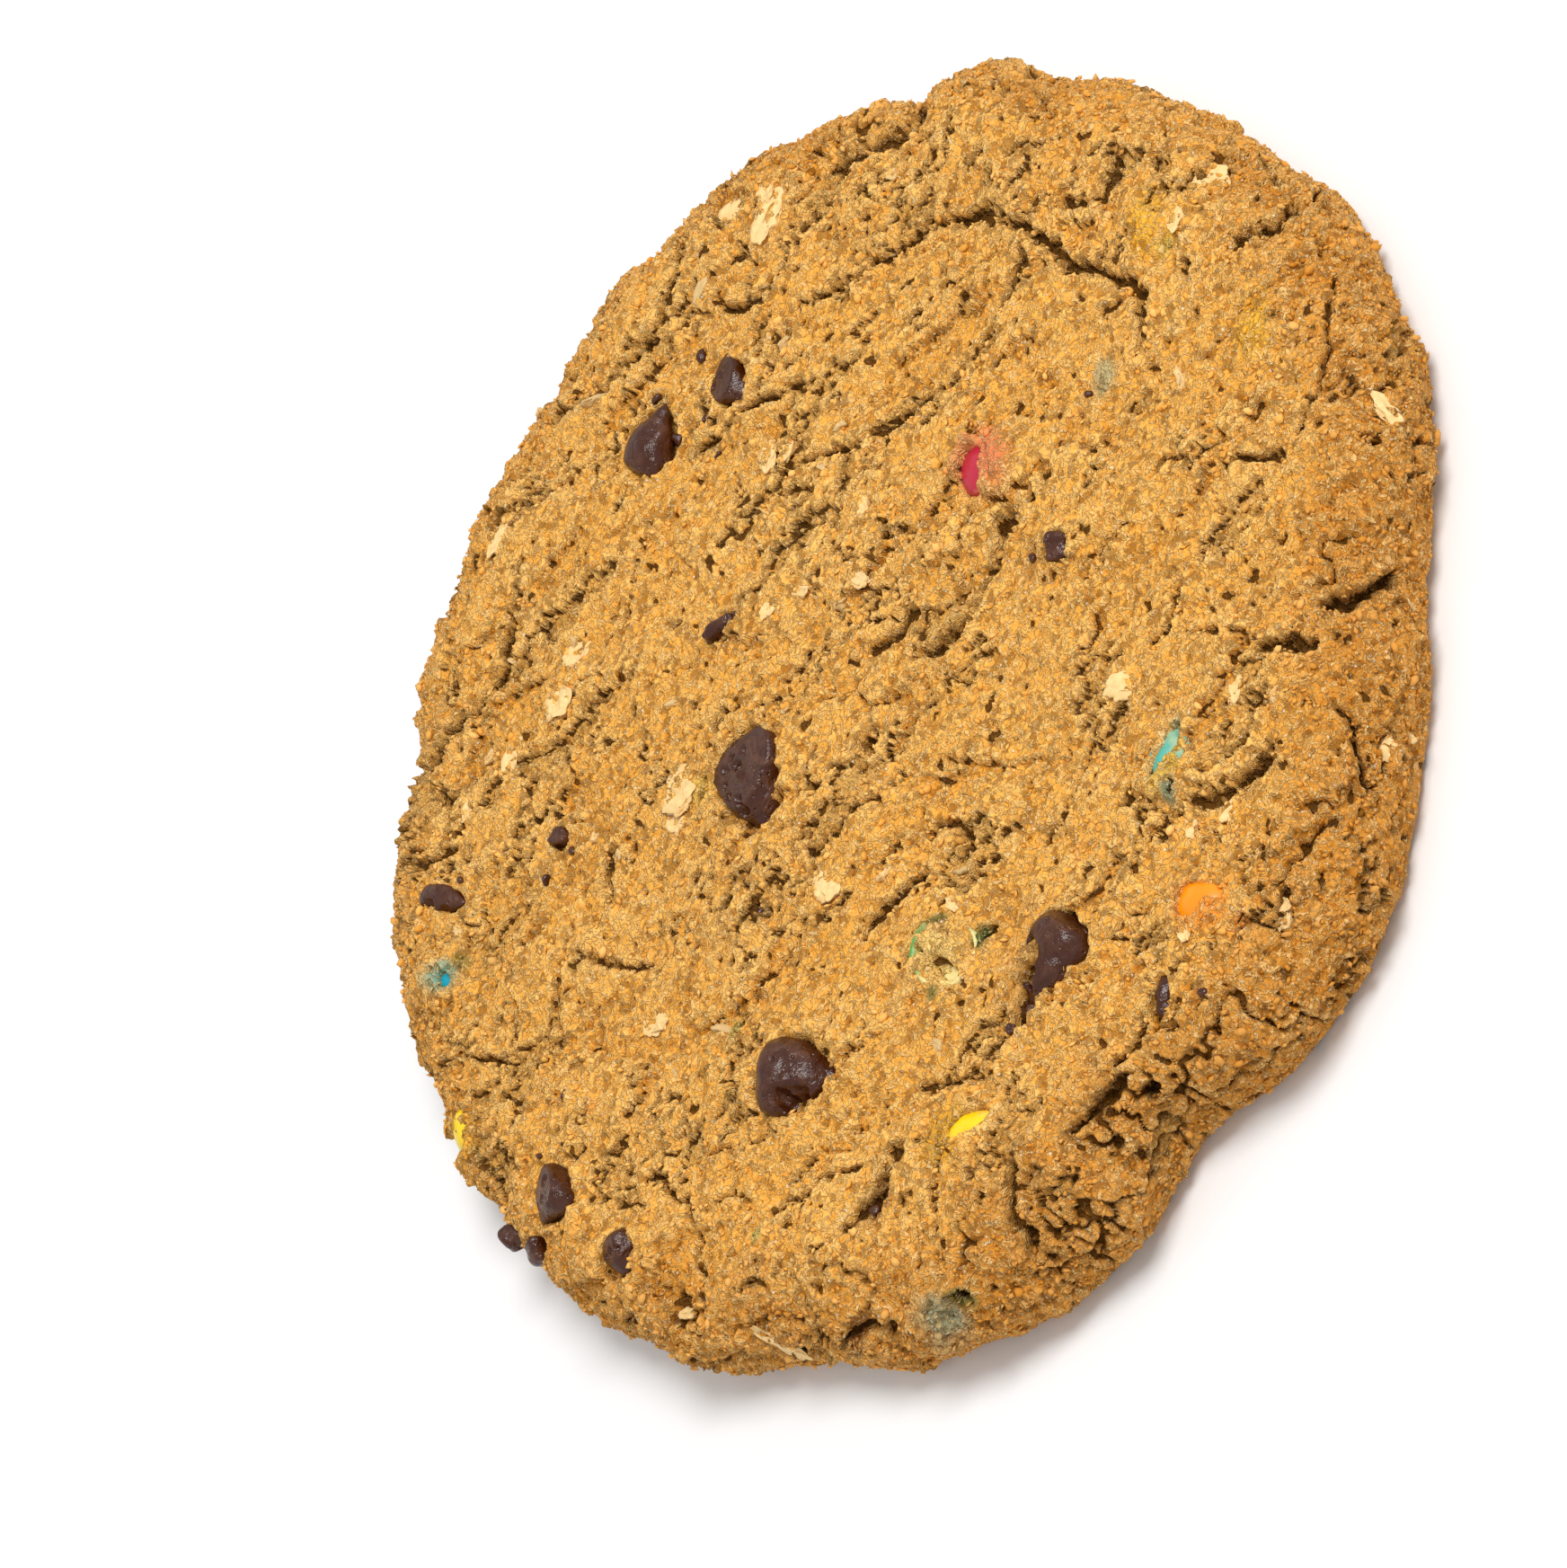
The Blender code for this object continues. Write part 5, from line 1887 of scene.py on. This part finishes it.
@dataclass
class OatFlakes:
    """Rolled oats baked into the top, whole and in scraps."""

    crust: Crust
    skin: Skin
    scraps: int = 36
    thickness: float = 0.5
    sunk: float = 0.14
    cream: Colour = (0.92, 0.66, 0.30)
    toasted: Colour = (0.74, 0.42, 0.13)
    whole: tuple[Flake, ...] = each(
        Flake,
        ((-13.6, 15.5), 4.6, 3.6, 70, 14),
        ((-16.2, 14.6), 3.8, 2.2, 80),
        ((-22.4, 41.6), 3.6, 2.4, 25),
        ((0.6, 52.5), 3.4, 2.2, -15),
        ((37.2, 39.4), 4.8, 3.2, -25, 4),
        ((37.6, 34.8), 4.8, 3.0, 15, 4),
        ((40.0, 36.4), 3.2, 2.2, 60),
        ((-17.6, 38.4), 4.4, 2.0, 20),
        ((-10.9, 35.6), 3.4, 3.0, 60),
        ((-6.0, 35.9), 3.6, 2.2, -40),
        ((-33.3, 6.8), 4.2, 2.6, 95, 14),
        ((-15.6, -7.2), 3.4, 3.2, 30),
        ((-53.2, -23.6), 5.4, 2.0, 68, 4),
        ((53.2, -16.8), 4.4, 2.8, 95),
        ((48.5, -15.2), 2.6, 1.8, 30),
        ((10.0, -31.4), 3.8, 2.4, -50),
        ((3.6, -49.2), 3.6, 1.8, -20),
        ((1.0, -45.1), 2.2, 1.4, 50),
        ((13.0, -43.6), 2.8, 1.6, 20),
        ((39.0, -47.8), 3.4, 2.0, 75),
        ((17.0, 21.8), 3.4, 2.0, 40),
        ((18.4, 19.4), 2.4, 1.2, 10),
        ((9.9, 4.4), 4.6, 1.4, 85, 16),
        ((4.4, 14.0), 2.6, 1.5, 20),
        ((7.0, 11.0), 3.2, 1.1, 100, 14),
        ((16.0, 7.5), 2.2, 1.3, 40),
        ((-13.0, -22.4), 2.6, 1.0, 70, 14),
        ((-3.0, -58.8), 2.6, 1.6, 10),
        ((13.0, -62.4), 2.4, 1.4, 0),
        ((-7.3, -49.1), 2.0, 1.2, 60),
    )

    def flake(
        self, round_ball: Array, length: float, width: float, seed: int
    ) -> tuple[Array, Array]:
        """One flake on level ground.

        Args:
            round_ball: points of a round ball.
            length: its length.
            width: its width.
            seed: which flake.

        Returns:
            Its points and their colours.
        """
        x, y, z = round_ball.T
        out = np.hypot(x, y)
        edge = 1 + 0.34 * frayed(round_ball + seed * 3.1, 0.9, 3, seed) * out
        along, across = x * edge * length / 2, y * edge * width / 2
        crease = np.exp(-((across / 0.25 + 0.6 * np.sin(along * 1.3)) ** 2)) * (1 - out**2) * 0.6
        lie = 0.05 * out**2 - 0.16 * crease + 0.2 * frayed(round_ball + seed, 0.9, 3, seed + 1)
        points = np.column_stack([along, across, np.sign(z) * np.abs(z) ** 0.6 * self.thickness / 2 + lie])
        streak = noise(np.column_stack([along * 0.4, across * 2.2, out * 0 + seed]), 0.6, seed + 2)
        tone = np.tile(self.cream, (len(points), 1)) * (1 + 0.12 * streak)[:, None]
        toasted = smooth_step(0.8, 1.1, out) * 0.35 + crease * 0.25 + 0.3 * smooth_step(-0.2, 0.8, streak)
        return points, blend(tone, self.toasted, toasted)

    def build(self) -> None:
        """Builds the whole flakes and the scraps as one piece each."""
        finish = OatFinish().material()
        draw = np.random.default_rng(23)
        round_ball, faces = ball(4)
        points, tones = [], []
        for k, flake in enumerate(self.whole):
            body, tone = self.flake(round_ball, flake.length, flake.width, 200 + k)
            body = body @ (turned(flake.turn, "Z") @ turned(flake.lift, "Y")).T
            spot, normal = self.ground(flake.place)
            points.append(leaned(body, normal) + spot - normal * self.sunk)
            tones.append(tone)
        self.join("oat_flakes", points, faces, tones, finish)
        round_ball, faces = ball(3)
        looks = self.skin.looks
        keep = (1 - looks["bare"]) * (1 - looks["dark"]) * (looks["stain"][:, 3] < 0.1)
        spots, normals, _ = self.skin.scatter(self.scraps, draw, keep)
        points, tones = [], []
        for k, (spot, normal) in enumerate(zip(spots, normals)):
            length = draw.uniform(1.0, 2.6)
            body, tone = self.flake(round_ball, length, length * draw.uniform(0.4, 0.7), 300 + k)
            body = body @ (turned(draw.uniform(0, 360), "Z") @ turned(draw.uniform(-25, 25), "X")).T
            points.append(leaned(body, normal) + spot - normal * self.sunk)
            tones.append(tone * draw.uniform(0.72, 0.95))
        self.join("oat_scraps", points, faces, tones, finish)

    def ground(self, place: Place) -> tuple[Array, Array]:
        """The ground that is seen at a place.

        Args:
            place: the place, as it is seen.

        Returns:
            The spot on the finished skin, and the smooth form's normal there.
        """
        spot, normal = self.crust.under(place)
        seen = self.crust.seen_place(self.skin.points)
        near = np.hypot(seen[:, 0] - place[0], seen[:, 1] - place[1]) < 0.9
        near &= np.linalg.norm(self.skin.points - np.array(spot), axis=1) < 4
        if near.any():
            spot = self.skin.points[near].mean(axis=0)
        return np.array(spot), np.array(normal)

    def join(
        self, name: str, points: list[Array], faces: Array, tones: list[Array],
        finish: Material,
    ) -> None:
        """Joins flakes with the same faces into one piece.

        Args:
            name: name of the piece.
            points: points of each flake.
            faces: corners of each face of one flake.
            tones: colours of each flake's points.
            finish: the material of oats.
        """
        piece = make_joined(name, points, faces)
        keep_colour(piece, "tone", np.concatenate(tones))
        hand_over(piece, "baked_dough", finish)


@dataclass
class ChocolateFlecks:
    """Small scraps of chocolate in the top."""

    oats: OatFlakes
    # How far the middle of a fleck stands out of the crust, as a share of its length
    proud: float = 0.12
    # Place and length
    flecks: tuple[tuple[Place, float], ...] = (
        ((-26.0, 27.2), 1.3), ((-42.5, 13.7), 1.0), ((-20.5, -1.0), 1.1), ((23.6, 35.4), 1.4),
        ((15.7, 33.9), 1.5), ((18.5, 31.1), 1.2), ((15.5, 28.0), 0.8), ((32.0, -13.8), 0.9),
        ((17.0, -15.3), 0.9), ((-11.2, -53.8), 1.0), ((-29.5, 38.5), 1.0), ((18.3, 38.8), 1.3),
        ((-39.2, -28.2), 1.4), ((-22.6, 25.6), 0.8), ((2.9, 17.8), 0.8), ((-48.6, 13.6), 0.8),
        ((-18.6, -36.4), 1.6), ((-20.4, -35.2), 1.2), ((-10.8, -38.8), 1.2), ((21.0, 27.6), 0.7),
    )

    def build(self) -> None:
        """Builds the flecks as one piece."""
        round_ball, faces = ball(3)
        draw = np.random.default_rng(29)
        bodies = []
        for k, (place, length) in enumerate(self.flecks):
            body = round_ball * np.array([1, draw.uniform(0.6, 0.9), draw.uniform(0.5, 0.8)]) * length / 2
            body = swollen(body, 0.6, 0.16 * length, 400 + k) @ turned(draw.uniform(0, 360), "Z").T
            spot, normal = self.oats.ground(place)
            bodies.append(leaned(body, normal) + spot + normal * self.proud * length)
        piece = make_joined("chocolate_flecks", bodies, faces)
        hand_over(piece, "chocolate", ChocolateFinish().material())


# ---- crumbs
class CrumbShape(Enum):
    """What a crumb's corners are those of, before it is made uneven."""

    OCTAHEDRON = "octahedron"
    ICOSAHEDRON = "icosahedron"


class CrumbKind(Enum):
    """A kind of strewn crumb: shape, count, length, flatness, narrowness, lean, and share left on plates."""

    GRAIN = (CrumbShape.OCTAHEDRON, 6_000, 0.55, 0.55, 0.65, 0.4, 0.03)
    SHRED = (CrumbShape.OCTAHEDRON, 3_000, 0.85, 0.3, 0.5, 0.22, 0.15)
    LUMP = (CrumbShape.ICOSAHEDRON, 500, 0.95, 0.5, 0.7, 0.4, 0.05)

    def __init__(self, shape: CrumbShape, count: int, *sizes: float) -> None:
        """Names the parts of the kind."""
        self.shape, self.count = shape, count
        self.length, self.flat, self.narrow, self.lean, self.plates = sizes


@dataclass
class Crumbs:
    """Crumb of one kind, strewn over the crust and half sunk in it."""

    skin: Skin
    kind: CrumbKind
    seed: int
    # Crumb lying in cracks takes more of the painted shadow colour than the skin
    colours: BakedColours = BakedColours(tear_share=0.8)
    # How far the middle of a crumb stands out of the crust, as a share of its half length
    proud: float = 0.25
    unevenness: float = 0.22
    # Least and most of the kind's length, as shares
    spread: tuple[float, float] = (0.55, 1.35)
    # How much lighter crumb is than its place, on the whole and from one to the next
    shift: tuple[float, float] = (0.05, 0.1)
    # Least height over the table in millimetres
    clearance: float = 0.02

    def body(self) -> tuple[Array, Array]:
        """One crumb of unit half length.

        Returns:
            Its corners, and its faces by their corners' numbers.
        """
        if self.kind.shape is CrumbShape.OCTAHEDRON:
            corners = np.array([(1, 0, 0), (0, 1, 0), (-1, 0, 0), (0, -1, 0), (0, 0, 1), (0, 0, -1)], float)
            faces = [(k, (k + 1) % 4, 4) for k in range(4)] + [((k + 1) % 4, k, 5) for k in range(4)]
            return corners, np.array(faces)
        golden = (1 + 5**0.5) / 2
        corners = [(a, b * golden, 0) for a in (-1, 1) for b in (-1, 1)]
        corners = np.array([np.roll(c, k) for k in range(3) for c in corners]) / math.hypot(1, golden)
        apart = np.linalg.norm(corners[:, None] - corners[None], axis=2)
        near = apart < 1.2
        faces = [
            (i, j, k)
            for i, j, k in np.ndindex(12, 12, 12)
            if i < j and i < k and near[i, j] and near[j, k] and near[i, k]
            and np.dot(np.cross(corners[j] - corners[i], corners[k] - corners[i]), corners[i]) > 0
        ]
        return corners, np.array(faces)

    def build(self) -> None:
        """Builds and dresses the piece."""
        draw = np.random.default_rng(self.seed)
        kind, count, seen = self.kind, self.kind.count, self.skin.looks
        liked = kind.plates + np.clip(seen["hollow"] + 0.8 * seen["brown"], 0, 1) * (1 - kind.plates)
        keep = (1 - seen["bare"]) * (1 - 0.75 * seen["dark"]) * liked
        spots, normals, looks = self.skin.scatter(count, draw, keep)
        corners, faces = self.body()
        size = kind.length / 2 * draw.uniform(*self.spread, (count, 1, 1))
        shape = corners * np.array([1, kind.narrow, kind.flat])
        shape = shape[None] * size * (1 + draw.uniform(-1, 1, (count, len(corners), 3)) * self.unevenness)
        up = normals + draw.normal(0, kind.lean, (count, 3))
        up /= np.linalg.norm(up, axis=1, keepdims=True)
        along = np.cross(up, draw.normal(0, 1, (count, 3)))
        along /= np.linalg.norm(along, axis=1, keepdims=True)
        axes = np.stack([along, np.cross(up, along), up], axis=1)
        points = np.einsum("nki,nij->nkj", shape, axes) + spots[:, None] + up[:, None] * size * self.proud
        points[..., 2] = np.maximum(points[..., 2], self.clearance)
        tone = self.colours.tone(looks, draw.normal(*self.shift, count))
        piece = make_joined(f"crumb_{kind.name.lower()}", points, faces)
        keep_colour(piece, "tone", np.repeat(tone, len(corners), axis=0))
        hand_over(piece, "baked_dough", CrumbFinish().material())


@dataclass
class Studio:
    """Camera, table and soft light."""

    # Width and height of the photograph, and where the cookie's middle is in it, in pixels
    picture_size: tuple[int, int] = (1744, 1745)
    cookie_middle_pixel: tuple[float, float] = (984, 791)
    cookie_middle: tuple[float, float, float] = (0.0, 0.0, 7.0)
    # Tilt of the view from straight down, and its turn about its own axis, in degrees
    tilt: float = 47.0
    turn: float = 67.3
    distance: float = 600.0
    pixels_per_mm: float = 12.6
    sensor: float = 36.0
    table_reach: float = 3000.0
    lamp_size: float = 360.0
    lamp_place: tuple[float, float, float] = (280.0, -240.0, 700.0)
    lamp_power: float = 4.45
    room_strength: float = 0.7
    finish: FloorFinish = FloorFinish()

    def build(self) -> None:
        """Sets up the camera, the table and the light."""
        self.camera()
        self.table()
        self.light()

    def camera(self) -> None:
        """Looks down on the cookie as the photograph does, with the cookie's middle at its own pixel."""
        focal = self.pixels_per_mm * self.distance
        width, height = self.picture_size
        tilt, turn = math.radians(self.tilt), math.radians(self.turn)
        back = Vector((0, -math.sin(tilt), math.cos(tilt)))
        level_right = Vector((1, 0, 0))
        level_up = back.cross(level_right)
        right = math.cos(turn) * level_right - math.sin(turn) * level_up
        up = math.sin(turn) * level_right + math.cos(turn) * level_up
        off_x = (self.cookie_middle_pixel[0] - width / 2) / focal
        off_y = (height / 2 - self.cookie_middle_pixel[1]) / focal
        aim = Vector((0, 0, -1)).rotation_difference(Vector((off_x, off_y, -1))).to_matrix()
        facing = Matrix((right, up, back)).transposed() @ aim.inverted()
        data = bpy.data.cameras.new("camera")
        data.sensor_width = self.sensor
        data.lens = focal / max(width, height) * self.sensor
        made = bpy.data.objects.new("camera", data)
        place = (Vector(self.cookie_middle) + back * self.distance) * MM
        made.matrix_world = Matrix.Translation(place) @ facing.to_4x4()
        bpy.context.scene.collection.objects.link(made)
        bpy.context.scene.camera = made

    def table(self) -> None:
        """A wide pale table under the cookie."""
        points = np.array([[-1, -1, 0], [1, -1, 0], [1, 1, 0], [-1, 1, 0]]) * self.table_reach
        table = make_mesh("table", points, np.array([[0, 1, 2, 3]]))
        table.data.materials.append(self.finish.material())

    def light(self) -> None:
        """A wide soft lamp over the cookie, leaning to +X and the camera, and a white room."""
        data = bpy.data.lights.new("soft_lamp", "AREA")
        data.shape = "DISK"
        data.size = self.lamp_size * MM
        data.energy = self.lamp_power
        lamp = bpy.data.objects.new("soft_lamp", data)
        lamp.location = Vector(self.lamp_place) * MM
        lamp.rotation_euler = lamp.location.to_track_quat("Z", "Y").to_euler()
        bpy.context.scene.collection.objects.link(lamp)
        world = bpy.data.worlds.new("white_room")
        world.use_nodes = True
        background = world.node_tree.nodes["Background"]
        background.inputs["Color"].default_value = (1, 1, 1, 1)
        background.inputs["Strength"].default_value = self.room_strength
        bpy.context.scene.world = world
        bpy.context.scene.view_settings.view_transform = "Standard"


def main() -> None:
    """Builds the cookie piece by piece, then its studio."""
    logging.basicConfig(level=logging.INFO, format="%(name)s: %(message)s")
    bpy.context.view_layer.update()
    crust = Crust()
    inclusions = Inclusions(crust)
    inclusions.open_seats()
    skin = DoughPiece(crust).build()
    inclusions.build()
    oats = OatFlakes(crust, skin)
    oats.build()
    ChocolateFlecks(oats).build()
    for seed, kind in enumerate(CrumbKind, 11):
        Crumbs(skin, kind, seed).build()
    Studio().build()


if __name__ == "__main__":
    main()
